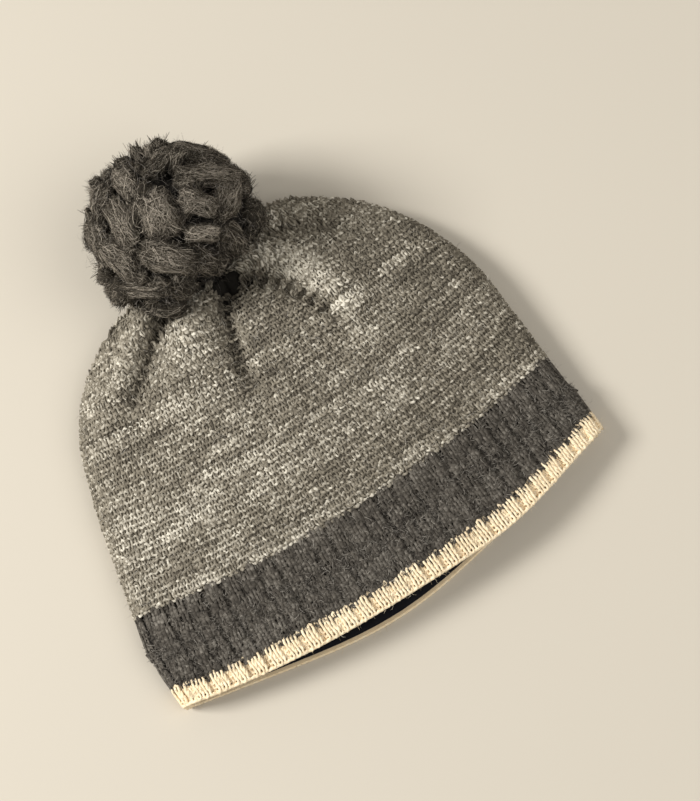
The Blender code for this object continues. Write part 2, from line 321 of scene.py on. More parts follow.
SECTIONS = (
    Section(-1.00, 0.983, 0.014, 0.016, -1.020, -1.370, -1.330, 0.190, 0.63, 0.00, 0.080, 0.150),
    Section(-0.50, 0.984, 0.008, 0.008, -0.510, -0.850, -0.820, 0.195, 0.71, 0.00, 0.040, 0.075),
    Section(0.00, 0.964, 0.012, 0.000, 0.000, -0.330, -0.330, 0.200, 0.80, 0.00, 0.000, 0.020),
    Section(0.15, 0.935, 0.033, 0.000, 0.248, 0.043, 0.081, 0.210, 0.91, 0.00, 0.000, 0.000),
    Section(0.30, 0.895, 0.053, 0.000, 0.505, 0.205, 0.300, 0.220, 0.98, 0.00, 0.000, 0.000),
    Section(0.45, 0.808, 0.052, 0.004, 0.758, 0.368, 0.517, 0.250, 1.00, 0.00, 0.000, 0.000),
    Section(0.60, 0.655, 0.056, 0.010, 0.962, 0.530, 0.735, 0.300, 0.98, 0.00, 0.000, 0.000),
    Section(0.70, 0.510, 0.058, 0.020, 1.065, 0.641, 0.880, 0.360, 0.93, 0.00, 0.000, 0.000),
    Section(0.80, 0.350, 0.058, 0.028, 1.115, 0.752, 1.025, 0.450, 0.86, 0.05, 0.000, 0.000),
    Section(0.88, 0.215, 0.056, 0.022, 1.095, 0.838, 1.090, 0.540, 0.79, 0.24, 0.000, 0.000),
    Section(0.95, 0.105, 0.053, 0.010, 1.040, 0.915, 1.075, 0.610, 0.72, 0.46, 0.000, 0.000),
    Section(1.00, 0.030, 0.050, 0.000, 1.000, 0.975, 1.030, 0.640, 0.67, 0.60, 0.000, 0.000),
)
FRONT_FOLDS = (
    Fold((0.06, 0.98), (-0.05, 0.73), (-0.09, 0.50), -0.90, -0.35, 0.042),
    Fold((-0.17, 1.01), (-0.36, 0.85), (-0.54, 0.69), -1.10, -0.35, 0.045),
    Fold((-0.05, 0.98), (-0.22, 0.80), (-0.40, 0.62), 0.50, 0.15, 0.095),
    Fold((-0.26, 1.02), (-0.41, 0.92), (-0.55, 0.80), 0.60, 0.20, 0.050),
    Fold((-0.36, 1.11), (-0.67, 0.91), (-0.85, 0.58), -0.45, -0.25, 0.034),
    Fold((0.06, 1.04), (0.32, 0.82), (0.37, 0.45), 0.95, 0.25, 0.080),
    Fold((-0.02, 1.01), (0.235, 0.81), (0.335, 0.50), -1.30, -0.25, 0.050),
    Fold((0.14, 1.10), (0.42, 0.99), (0.64, 0.80), -0.40, -0.20, 0.060),
)
# How deep each valley's sharp bottom lies, and how much painted light lies on each ridge, by place in FRONT_FOLDS.
CREASED_FOLDS = {0: 0.0024, 1: 0.0018, 4: 0.0010, 6: 0.0025, 7: 0.0010}
RIDGE_PAINTED_LIGHT = {2: 0.40, 3: 0.40, 5: 1.7}


class PaintedLightPatch(NamedTuple):
    """A patch of painted light (tone above 0) or painted shade (tone below 0) on the crown's wool: its place and reach
    as the folds give theirs.
    """

    x: float
    y: float
    wide: float
    tall: float
    tone: float


# Painted light and shade on the crown: lighter patches on the left and low down, darker ones on the right, between the
# folds and right below the pompom.
PAINTED_LIGHT_PATCHES = (
    PaintedLightPatch(-0.66, 0.20, 0.45, 0.40, 0.45),
    PaintedLightPatch(-0.10, 0.10, 0.60, 0.30, 0.15),
    PaintedLightPatch(0.85, 0.35, 0.30, 0.40, -0.25),
    PaintedLightPatch(0.12, 0.62, 0.17, 0.17, -0.35),
    PaintedLightPatch(-0.30, 0.55, 0.25, 0.20, 0.35),
    PaintedLightPatch(0.05, 0.93, 0.08, 0.10, -2.2),
)


def unit(vectors: Array) -> Array:
    """Vectors at length 1, along their last axis."""
    return vectors / np.maximum(np.linalg.norm(vectors, axis=-1, keepdims=True), 1e-12)


def quarter_round(distance: Array, radius: Array) -> Array:
    """A quarter circle: 0 at the hat's side, rising to 1 at one radius from it."""
    return np.sqrt(1 - np.clip(1 - distance / radius, 0, 1) ** 2)


@dataclass(frozen=True)
class HatForm:
    """The outer face of the hat, from the same tables as its solids."""

    mouth_width: float = 0.240
    band_height: float = 0.044
    crown_height: float = 0.117
    edge_height: float = 0.009
    loft: float = 0.034
    floor_press: float = 0.0008
    knit_wall: float = 0.003
    fold_depth: float = 0.009
    front_sag_middle: float = 0.50
    back_sag_middle: float = -0.10
    front_sag_reach: float = 0.34
    back_sag_reach: float = 0.52
    bow_at_rim: float = 1.0
    bow_at_gather: float = 0.55
    side_round: float = 0.75
    back_fold_count: int = 5
    back_fold_depth: float = 0.30
    back_fold_start: float = 0.78
    fold_steps: int = 12
    valley_power: float = 1.4
    ridge_power: float = 2.0
    fold_fade: float = 0.10
    crease_reach: float = 0.0034
    # Painted shade: the wool is painted darker along the valleys' creases, where shade falls.
    crease_painted_shade: float = -900.0
    crease_shade_reach: float = 0.0030
    fine_turns: int = 1441

    def along(self, share: float) -> float:
        """The distance from the seam for a share of the band's height below it or the crown's above."""
        return share * (self.crown_height if share > 0 else self.band_height)

    def sizes(self, courses: Array) -> dict[str, Array]:
        """The section table in metres at some courses.

        Args:
            courses: The courses, from -1 at the rim over 0 at the seam to 1 at the gather.

        Returns:
            A column of sizes for each name, one row for each course.
        """
        half = self.mouth_width / 2
        units = {
            "width": half, "shift": half, "tilt": half, "side_z": self.loft, "front_z": self.loft,
            "back_z": self.loft, "front_sag": self.band_height, "back_sag": self.band_height,
        }
        knots = np.array([row.course for row in SECTIONS])
        made = {}
        for name in Section._fields[1:]:
            shares = [getattr(row, name) for row in SECTIONS]
            values = np.array([s * units[name] if name in units else self.along(s) for s in shares])
            made[name] = self.smooth_between(knots, values, courses)[:, None]
        return made

    @staticmethod
    def smooth_between(knots: Array, values: Array, at: Array) -> Array:
        """Values read off a smooth curve through the knots."""
        slopes = np.gradient(values, knots)
        place = np.clip(np.searchsorted(knots, at) - 1, 0, len(knots) - 2)
        span = knots[place + 1] - knots[place]
        part = (at - knots[place]) / span
        square, cube = part**2, part**3
        return (
            (2 * cube - 3 * square + 1) * values[place]
            + (cube - 2 * square + part) * span * slopes[place]
            + (3 * square - 2 * cube) * values[place + 1]
            + (cube - square) * span * slopes[place + 1]
        )

    def fold_place(self, fold: Fold, x: Array, y: Array) -> tuple[Array, Array]:
        """How far points of the front panel lie from a fold's line, and the share along it from its start."""
        half = self.mouth_width / 2
        start, middle, end = (
            np.array((px * half, py * self.crown_height)) for px, py in (fold.start, fold.middle, fold.end)
        )
        bend = 2 * middle - (start + end) / 2
        nearest = np.full(x.shape, 1e9)
        part = np.zeros(x.shape)
        for step in range(self.fold_steps):
            s = step / (self.fold_steps - 1)
            spot = (1 - s) ** 2 * start + 2 * s * (1 - s) * bend + s**2 * end
            away = np.hypot(x - spot[0], y - spot[1])
            closer = away < nearest
            nearest = np.where(closer, away, nearest)
            part = np.where(closer, s, part)
        return nearest, part

    def fold_lift(self, fold: Fold, x: Array, y: Array) -> Array:
        """How far one fold lifts points of the front panel."""
        nearest, part = self.fold_place(fold, x, y)
        half = self.mouth_width / 2
        depth = fold.depth_start + (fold.depth_end - fold.depth_start) * part
        reach = fold.reach * half * (1 + 0.5 * part)
        power = self.valley_power if fold.depth_start < 0 else self.ridge_power
        return self.fold_depth * depth * np.exp(-((nearest / reach) ** power))

    def crease(self, x: Array, y: Array, reach: float) -> Array:
        """How deep the sharp bottoms of the valleys lie under their packed form."""
        sunk = np.zeros(x.shape)
        for index, depth in CREASED_FOLDS.items():
            nearest, part = self.fold_place(FRONT_FOLDS[index], x, y)
            fade = np.clip(8 * part + 0.3, 0, 1) * np.clip(6 * (1 - part), 0, 1)
            sunk = np.maximum(sunk, depth * fade * np.exp(-((nearest / reach) ** 2)))
        return sunk

    def painted_light_and_shade(self, x: Array, y: Array) -> Array:
        """The painted light and shade on the crown's wool at places in the tables' own frame: painted shade in the
        creases, painted light on the ridges, and the painted patches.
        """
        half = self.mouth_width / 2
        # Painted shade in the creases.
        tone = self.crease_painted_shade * self.crease(x, y, self.crease_shade_reach)
        # Painted light on the ridges of the folds.
        for index, light in RIDGE_PAINTED_LIGHT.items():
            nearest, _ = self.fold_place(FRONT_FOLDS[index], x, y)
            tone = tone + light * np.exp(-((nearest / (FRONT_FOLDS[index].reach * half)) ** 2))
        # Painted light and painted shade from the patches.
        for patch in PAINTED_LIGHT_PATCHES:
            away = ((x - patch.x * half) / (patch.wide * half)) ** 2
            away = away + ((y - patch.y * self.crown_height) / (patch.tall * self.crown_height)) ** 2
            tone = tone + patch.tone * np.exp(-away)
        return tone

    def plain(self, courses: Array, turns: Array) -> Array:
        """Points of the loops without their folds.

        Args:
            courses: One course for each loop.
            turns: Turns round the loops, one row for each course. 0 is the left side.

        Returns:
            The points, by course, turn and axis.
        """
        size = self.sizes(courses)
        across = -np.cos(turns)
        front = np.sin(turns) >= -1e-9
        inward = np.clip(1 - across**2, 0, 1)
        toward = np.clip(courses, 0, 1)[:, None]
        bow = inward ** (self.bow_at_rim + (self.bow_at_gather - self.bow_at_rim) * toward)
        x = size["shift"] + size["width"] * across
        middle_y = np.where(front, size["front_y"], size["back_y"])
        sag_middle = np.where(front, self.front_sag_middle, self.back_sag_middle)
        sag = np.where(front, size["front_sag"], size["back_sag"])
        y = size["side_y"] + size["tilt"] * across + (middle_y - size["side_y"]) * bow
        reach = np.where(front, self.front_sag_reach, self.back_sag_reach)
        y = y - sag * np.exp(-(((across - sag_middle) / reach) ** 2)) * np.sqrt(inward)
        drop = size["side_z"] - size["back_z"] + self.floor_press
        radius = np.minimum(drop, self.side_round * size["width"])
        rounding = quarter_round(size["width"] * (1 - np.abs(across)), radius)
        climb = size["front_z"] - size["side_z"]
        turned_up = np.minimum(climb, drop)
        top = turned_up * rounding + (climb - turned_up) * inward
        z = size["side_z"] + np.where(front, top, -drop * rounding)
        return np.stack([x, y, z], axis=-1)

    def folded(self, courses: Array, turns: Array) -> Array:
        """Points of the loops with their folds, as plain() gives them without."""
        points = self.plain(courses, turns)
        width = self.sizes(courses)["width"]
        lift = np.zeros(turns.shape)
        for fold in FRONT_FOLDS:
            lift += self.fold_lift(fold, points[..., 0], points[..., 1])
        part = np.clip((courses[:, None] - self.back_fold_start) / (1 - self.back_fold_start), 0, 1)
        wave = np.cos(self.back_fold_count * np.cos(turns)) ** 2
        gathers = self.fold_depth * self.back_fold_depth * 4 * part * (1 - part) * wave
        rounding = quarter_round(width * (1 - np.abs(np.cos(turns))), self.fold_fade * width)
        front = np.sin(turns) >= -1e-9
        points[..., 2] += np.where(front, lift, gathers) * rounding
        points[..., 2] = np.maximum(points[..., 2], 0)
        return points

    def seam_course(self, height: float) -> float:
        """The course at a height above the rim, inside the band."""
        return height / self.band_height - 1

    def even_turns(self, courses: Array, count: int) -> Array:
        """Turns that are evenly spaced along each loop, the first of them at the left side."""
        fine = np.linspace(0, TAU, self.fine_turns)
        loops = self.plain(courses, np.broadcast_to(fine, (len(courses), len(fine))))
        runs = np.cumsum(np.linalg.norm(np.diff(loops, axis=1), axis=2), axis=1)
        runs = np.concatenate([np.zeros((len(courses), 1)), runs], axis=1)
        return np.stack([np.interp(np.linspace(0, run[-1], count, endpoint=False), run, fine) for run in runs])


@dataclass
class Row:
    """One row of knitting as a fine closed line on the cloth, from the middle of the front panel."""

    points: Array
    normals: Array
    ups: Array
    stretch: Array
    length: float

    @classmethod
    def along_line(cls, line: Array, normals: Array, step: float, stretch: Array | None = None) -> Row:
        """Makes a row from a closed line.

        Args:
            line: Points round the hat, the first of them in the middle of the front panel.
            normals: The cloth's outward directions there.
            step: The spacing of the row's own points.
            stretch: How much taller than usual the stitches are there, so that they still meet the next row.

        Returns:
            The row, with its points evenly spaced.
        """
        stretch = np.ones(len(line)) if stretch is None else stretch
        closed = np.vstack([line, line[:1]])
        run = np.concatenate([[0], np.cumsum(np.linalg.norm(np.diff(closed, axis=0), axis=1))])
        count = max(12, int(run[-1] / step))
        at = np.linspace(0, run[-1], count, endpoint=False)
        closed_normals = np.vstack([normals, normals[:1]])
        points = np.column_stack([np.interp(at, run, closed[:, a]) for a in range(3)])
        out = unit(np.column_stack([np.interp(at, run, closed_normals[:, a]) for a in range(3)]))
        tangents = np.roll(points, -2, axis=0) - np.roll(points, 2, axis=0)
        tall = np.interp(at, run, np.append(stretch, stretch[0]))
        return cls(points, out, unit(np.cross(out, tangents)), tall[:, None], float(run[-1]))

    def at(self, run: Array) -> tuple[Array, Array, Array, Array]:
        """Points, normals, upward directions and stretches at distances along the row."""
        place = (run / self.length % 1.0) * len(self.points)
        low = np.floor(place).astype(int) % len(self.points)
        high = (low + 1) % len(self.points)
        part = (place - np.floor(place))[:, None]
        tables = (self.points, self.normals, self.ups, self.stretch)
        return tuple(table[low] * (1 - part) + table[high] * part for table in tables)


@dataclass
class HatCloth:
    """The hat's outer face, tabulated finely in the hat's frame."""

    form: HatForm = field(default_factory=HatForm)
    fine_courses: int = 360
    fine_turns: int = 721
    row_step: float = 0.0004
    probe: float = 0.0010
    most_stretch: float = 2.6
    under_crease: float = 0.0050
    under_depth: float = 1.15
    lowest_front: float = 0.002
    least_stretch: float = 0.85
    stretch_passes: int = 12
    fewest_columns: int = 12
    normal_step: float = 0.004
    normal_turn: float = 0.02
    row_turns: int = 1440

    def __post_init__(self) -> None:
        """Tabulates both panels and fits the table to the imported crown."""
        self.courses = np.linspace(0, 1, self.fine_courses)
        half = np.linspace(0, math.pi, self.fine_turns)
        turns = np.broadcast_to(half, (self.fine_courses, self.fine_turns))
        self.front = self.form.folded(self.courses, turns)
        self.front[..., 2] -= self.form.crease(self.front[..., 0], self.front[..., 1], self.form.crease_reach)
        self.front[..., 2] = np.maximum(self.front[..., 2], self.lowest_front)
        self.back = self.form.folded(self.courses, -turns)
        seam = self.form.sizes(np.zeros(1))
        across = np.clip((self.front[..., 0] - seam["shift"][0, 0]) / seam["width"][0, 0], -1, 1)
        brim = seam["front_y"][0, 0] * (1 - across**2)
        self.row_place = self.front[..., 1] - brim
        points = np.vstack([self.front.reshape(-1, 3), self.back.reshape(-1, 3)])
        low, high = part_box("crown")
        middle = (np.array(low) + np.array(high)) / 2
        self.origin = (points.min(axis=0) + points.max(axis=0)) / 2 - middle
        self.origin[2] = 0.0
        self.front = self.front - self.origin
        self.back = self.back - self.origin
        self.front_out = self.panel_normals(self.front)
        self.back_out = -self.panel_normals(self.back)

    @staticmethod
    def panel_normals(panel: Array) -> Array:
        """Directions square to a panel, upward for the front one."""
        return unit(np.cross(np.gradient(panel, axis=1), np.gradient(panel, axis=0)))

    def loops(self, courses: Array, count: int, inset: float) -> Array:
        """Evenly spaced loops at some depth under the outer face.

        Args:
            courses: One course for each loop.
            count: Points in each loop.
            inset: How far inside the outer face they lie.

        Returns:
            The points, by course, place and axis.
        """
        turns = self.form.even_turns(courses, count)
        points, out = self.points_and_normals(courses, turns)
        sunk = self.form.crease(points[..., 0] + self.origin[0], points[..., 1] + self.origin[1], self.under_crease)
        points = points - inset * out
        points[..., 2] -= self.under_depth * np.where(np.sin(turns) > 0, sunk, 0)
        return points

    def points_and_normals(self, courses: Array, turns: Array) -> tuple[Array, Array]:
        """Points of the outer face and its outward directions, in the hat's frame."""
        step, turn = self.normal_step, self.normal_turn
        low, high = np.clip(courses - step, -1, 1), np.clip(courses + step, -1, 1)
        round_loop = self.form.folded(courses, turns + turn) - self.form.folded(courses, turns - turn)
        up_hat = self.form.folded(high, turns) - self.form.folded(low, turns)
        return self.form.folded(courses, turns) - self.origin, unit(np.cross(round_loop, up_hat))

    def even_courses(self, low: float, high: float, shares: Array) -> Array:
        """Courses at shares of the cloth's own length between two courses."""
        fine = np.linspace(low, high, 80)
        turns = np.broadcast_to(np.array([0.15, 0.35, 0.5, 0.65, 0.85]) * math.pi, (80, 5))
        steps = np.linalg.norm(np.diff(self.form.folded(fine, turns), axis=0), axis=2).mean(axis=1)
        run = np.concatenate([[0], np.cumsum(steps)])
        return np.interp(shares, run / run[-1], fine)

    def band_row(self, course: float) -> Row:
        """The row at one course of the band or edge."""
        turns = self.form.even_turns(np.array([course]), self.row_turns)
        points, out = self.points_and_normals(np.array([course]), turns)
        start = self.row_turns // 4
        return Row.along_line(np.roll(points[0], -start, axis=0), np.roll(out[0], -start, axis=0), self.row_step)

    def crossing(self, place: float, rising: bool) -> tuple[Array, Array]:
        """Where each line of constant turn meets a row.

        Args:
            place: The row's distance above the brim.
            rising: The crossing on the way up the hat, and not the one on its way back down.

        Returns:
            The crossing as a fraction of the table's rows, and whether there is one.
        """
        above = self.row_place >= place
        change = ~above[:-1] & above[1:] if rising else above[:-1] & ~above[1:]
        found = change.any(axis=0)
        first = change.argmax(axis=0)
        columns = np.arange(self.fine_turns)
        low, high = self.row_place[first, columns], self.row_place[first + 1, columns]
        return first + (place - low) / np.where(high == low, 1, high - low), found

    def read(self, table: Array, places: Array, columns: Array) -> Array:
        """Reads a panel's table between its rows."""
        low = np.clip(np.floor(places).astype(int), 0, self.fine_courses - 2)
        part = (places - low)[:, None]
        return table[low, columns] * (1 - part) + table[low + 1, columns] * part

    def crown_rows(self, place: float) -> list[Row]:
        """The rows at one distance above the brim: one round the hat, or one on each shoulder.

        Args:
            place: The distance above the brim, along the hat.

        Returns:
            The rows.
        """
        up, has_up = self.crossing(place, True)
        down, has_down = self.crossing(place, False)
        columns = np.arange(self.fine_turns)
        if has_up.all() and not has_down.any():
            parts = [(0, up, columns, True), (1, up, columns[::-1], True)]
            points, normals, stretch = self.line_of(place, parts)
            start = int(np.abs(points[: self.fine_turns, 0] - points[:, 0].mean()).argmin())
            rolled = [np.roll(values, -start, axis=0) for values in (points, normals, stretch)]
            return [Row.along_line(rolled[0], rolled[1], self.row_step, rolled[2])]
        rows = []
        both = has_up & has_down
        middle = self.fine_turns / 2
        for side in (columns[both & (columns < middle)], columns[both & (columns >= middle)][::-1]):
            if len(side) < self.fewest_columns:
                continue
            parts = [
                (0, up, side, True), (0, down, side[::-1], False),
                (1, down, side, False), (1, up, side[::-1], True),
            ]
            points, normals, stretch = self.line_of(place, parts)
            rows.append(Row.along_line(points, normals, self.row_step, stretch))
        return rows

    def line_of(self, place: float, parts: list[tuple[int, Array, Array, bool]]) -> tuple[Array, Array, Array]:
        """Joins parts of one row.

        Args:
            place: The row's distance above the brim.
            parts: For each part its panel, 0 for the front and 1 for the back, its crossings, its columns, and
                whether it runs up the hat.

        Returns:
            Points, normals and stretches.
        """
        panels = ((self.front, self.front_out), (self.back, self.back_out))
        points, normals, stretches = [], [], []
        for panel, crossings, columns, rising in parts:
            face, out = panels[panel]
            places = crossings[columns]
            points.append(self.read(face, places, columns))
            normals.append(self.read(out, places, columns))
            ends = []
            for step in (-self.probe, self.probe):
                moved, found = self.crossing(place + step, rising)
                ends.append(self.read(face, np.where(found, moved, crossings)[columns], columns))
            stretches.append(np.linalg.norm(ends[1] - ends[0], axis=1) / (2 * self.probe))
        stretch = np.concatenate(stretches)
        for _ in range(self.stretch_passes):
            stretch = softened(stretch)
        stretch = np.clip(stretch, self.least_stretch, self.most_stretch)
        return np.vstack(points), np.vstack(normals), stretch


# Meshes: tubes, ribbons and grids with their bake maps.


@dataclass
class Skein:
    """Gathers tubes of yarn or flat fibres, and makes them into one mesh."""

    name: str
    cell_length: int = 40
    points: list[Array] = field(default_factory=list)
    quads: list[Array] = field(default_factory=list)
    numbers: dict[str, list[Array]] = field(default_factory=lambda: {name: [] for name in YARN_NUMBERS})
    cells: list[Array] = field(default_factory=list)
    corners: list[Array] = field(default_factory=list)
    size: int = 0
    cell_count: int = 0

    def add(self, rings: Array, run: Array, strand: Array, tone: Array, closed: bool) -> None:
        """Adds strands that all have the same number of rings.

        Args:
            rings: Points by strand, ring, side and axis.
            run: Distance along the yarn, by strand and ring.
            strand: A number for each strand.
            tone: Lighter or darker, by strand and ring: the wool's own tone, with any painted light and shade laid on
                it.
            closed: The rings close into tubes, and aren't open ribbons.
        """
        strands, count, sides, _ = rings.shape
        faces = sides if closed else sides - 1
        first = np.arange(strands)[:, None, None] * count * sides
        ring = np.arange(count - 1)[None, :, None] * sides
        here, after = np.arange(faces), (np.arange(faces) + 1) % sides
        base = self.size + first + ring
        quads = np.stack([base + here, base + after, base + sides + after, base + sides + here], axis=-1)
        self.quads.append(quads.reshape(-1, 4))
        self.points.append(rings.reshape(-1, 3))
        spread = np.ones((strands, count, sides))
        turn = np.arange(sides) / sides
        for name, value in zip(YARN_NUMBERS, (run[..., None], strand[:, None, None], tone[..., None], turn)):
            self.numbers[name].append((value * spread).ravel())
        segment = np.arange(count - 1)
        per_strand = -(-(count - 1) // self.cell_length)
        cell = self.cell_count + np.arange(strands)[:, None] * per_strand + segment // self.cell_length
        self.cell_count += strands * per_strand
        cell = np.repeat(cell[:, :, None], faces, axis=2)
        self.cells.append(cell.ravel())
        length = min(self.cell_length, count - 1)
        place = (segment % self.cell_length)[None, :, None]
        corners = []
        for side, up in QUAD_CORNERS:
            along, across = (place + up) / length, (here + side) / faces
            corners.append(np.stack(np.broadcast_arrays(along, across, cell)[:2], -1))
        self.corners.append(np.stack(corners, axis=-2).reshape(-1, 4, 2))
        self.size += strands * count * sides

    def bake_map(self, shape: float) -> Array:
        """Lays the strands side by side on the bake map.

        Args:
            shape: How many times longer than wide a cell's strand is.

        Returns:
            A place on the map for each corner of each quad.
        """
        cells, corners = np.concatenate(self.cells), np.concatenate(self.corners)
        across = max(1, round(math.sqrt(self.cell_count / shape)))
        down = -(-self.cell_count // across)
        left, low = (cells % across)[:, None], (cells // across)[:, None]
        u = (left + 0.04 + 0.92 * corners[..., 0]) / across
        v = (low + 0.12 + 0.76 * corners[..., 1]) / down
        return np.stack([u, v], axis=-1).reshape(-1, 2)

    def mesh(self, material: bpy.types.Material, shape: float = 6.0) -> bpy.types.Object:
        """Makes the mesh.

        Args:
            material: Its finish.
            shape: How many times longer than wide a cell's strand is.

        Returns:
            The object.
        """
        made = quad_object(self.name, np.concatenate(self.points), np.concatenate(self.quads), self.bake_map(shape))
        for name, values in self.numbers.items():
            layer = made.data.attributes.new(name, "FLOAT", "POINT")
            layer.data.foreach_set("value", np.concatenate(values).astype(np.float32))
        made.data.materials.append(material)
        return made


def quad_object(name: str, points: Array, quads: Array, bake: Array | None = None) -> bpy.types.Object:
    """Makes an object of quads.

    Args:
        name: The object's name.
        points: Its corners.
        quads: Four corner numbers for each face.
        bake: A place on the bake map for each corner of each face.

    Returns:
        The object, shaded smooth.
    """
    data = bpy.data.meshes.new(name)
    data.vertices.add(len(points))
    data.vertices.foreach_set("co", points.astype(np.float32).ravel())
    data.loops.add(quads.size)
    data.loops.foreach_set("vertex_index", quads.astype(np.int32).ravel())
    data.polygons.add(len(quads))
    data.polygons.foreach_set("loop_start", np.arange(0, quads.size, 4, dtype=np.int32))
    if bake is not None:
        data.uv_layers.new(name=BAKE_MAP).data.foreach_set("uv", bake.astype(np.float32).ravel())
    data.update(calc_edges=True)
    data.shade_smooth()
    made = bpy.data.objects.new(name, data)
    bpy.context.scene.collection.objects.link(made)
    return made


def tube_rings(lines: Array, normals: Array, radius: Array, sides: int, flat: float = 1.0) -> Array:
    """Rings of a tube round lines.

    Args:
        lines: Points by strand, place and axis.
        normals: Directions that the tube's thickness is measured along.
        radius: The radius at each point.
        sides: How many sides a ring has.
        flat: The thickness along the normals as a share of the width.

    Returns:
        The rings, by strand, place, side and axis.
    """
    tangents = unit(np.gradient(lines, axis=1))
    aside = unit(np.cross(tangents, normals))
    out = np.cross(aside, tangents)
    angle = TAU * (np.arange(sides) + 0.5) / sides
    reach = radius[..., None, None]
    return lines[:, :, None, :] + reach * (
        np.cos(angle)[:, None] * aside[:, :, None, :] + flat * np.sin(angle)[:, None] * out[:, :, None, :]
    )


def grid_quads(rows: int, columns: int, closed_columns: bool, closed_rows: bool = False) -> tuple[Array, Array]:
    """Quads between the points of a grid, and their places on the bake map.

    Args:
        rows: Rows of points.
        columns: Points in each row.
        closed_columns: Whether each row ends where it starts.
        closed_rows: Whether the last row meets the first.

    Returns:
        The quads, and a place on the bake map for each of their corners.
    """
    row = np.arange(rows if closed_rows else rows - 1)[:, None]
    column = np.arange(columns if closed_columns else columns - 1)[None, :]
    quads, bake = [], []
    for side, up in QUAD_CORNERS:
        quads.append((row + up) % rows * columns + (column + side) % columns)
        bake.append(np.stack(np.broadcast_arrays((column + side) / columns, (row + up) / rows), -1))
    return np.stack(quads, -1).reshape(-1, 4), np.stack(bake, axis=-2).reshape(-1, 2)


def ribbons(lines: Array, outs: Array, width: Array) -> Array:
    """Flat ribbons along lines.

    Args:
        lines: Points by fibre, place and axis.
        outs: The directions that the ribbons face.
        width: The ribbon's width at each point.

    Returns:
        Rings of two points, by fibre, place, side and axis.
    """
    aside = unit(np.cross(unit(np.gradient(lines, axis=1)), outs))
    reach = aside * (width / 2)[..., None]
    return np.stack([lines - reach, lines + reach], axis=2)


def slow_waves(rng: np.random.Generator, places: Array, length: float, count: int = 5) -> Array:
    """Soft random waves along a line, between about -1 and 1."""
    made = np.zeros(places.shape)
    for _ in range(count):
        stretch = length * rng.uniform(0.6, 1.8)
        made += np.sin(places * (TAU / stretch) + rng.uniform(0, TAU))
    return made / math.sqrt(count / 2) / 1.6


def softened(values: Array) -> Array:
    """Values averaged a little with their neighbours."""
    padded = np.concatenate([values[:1], values, values[-1:]])
    return 0.25 * padded[:-2] + 0.5 * padded[1:-1] + 0.25 * padded[2:]


def dress(piece: bpy.types.Object, slot: str, *nodes: str) -> bpy.types.Object:
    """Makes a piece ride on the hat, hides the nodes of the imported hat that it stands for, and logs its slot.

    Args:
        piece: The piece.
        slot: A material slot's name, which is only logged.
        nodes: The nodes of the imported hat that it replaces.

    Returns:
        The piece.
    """
    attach(piece, ROOT)
    if nodes:
        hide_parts(*nodes)
    faces = len(piece.data.polygons)
    LOG.info("%s: %d faces, slot %s, stands for %s", piece.name, faces, slot, ", ".join(nodes) or "nothing")
    return piece


# Knitting: stitches, crown, ribs and lining.


class StitchKind(Enum):
    """How a stitch lies: its bumps to the front, or its legs."""

    PURL = 1.0
    KNIT = -1.0


@dataclass(frozen=True)
class Gauge:
    """Sizes of one knitted cloth's stitches."""

    radius: float
    rise: float
    depth: float
    bulge: float
    lift: float
    flat: float
    samples: int
    sides: int
    unevenness: float
    wobble: float = 0.00012
    # How much darker the yarn is painted where its loops lie back: painted shade in the recesses between loops.
    recess_painted_shade: float = 1.6


@dataclass(frozen=True)
class Column:
    """One column of stitches in a repeat: its share of the width, its kind and how deep it lies."""

    share: float
    kind: StitchKind
    lift: float = 0.0
    rise: float = 1.0


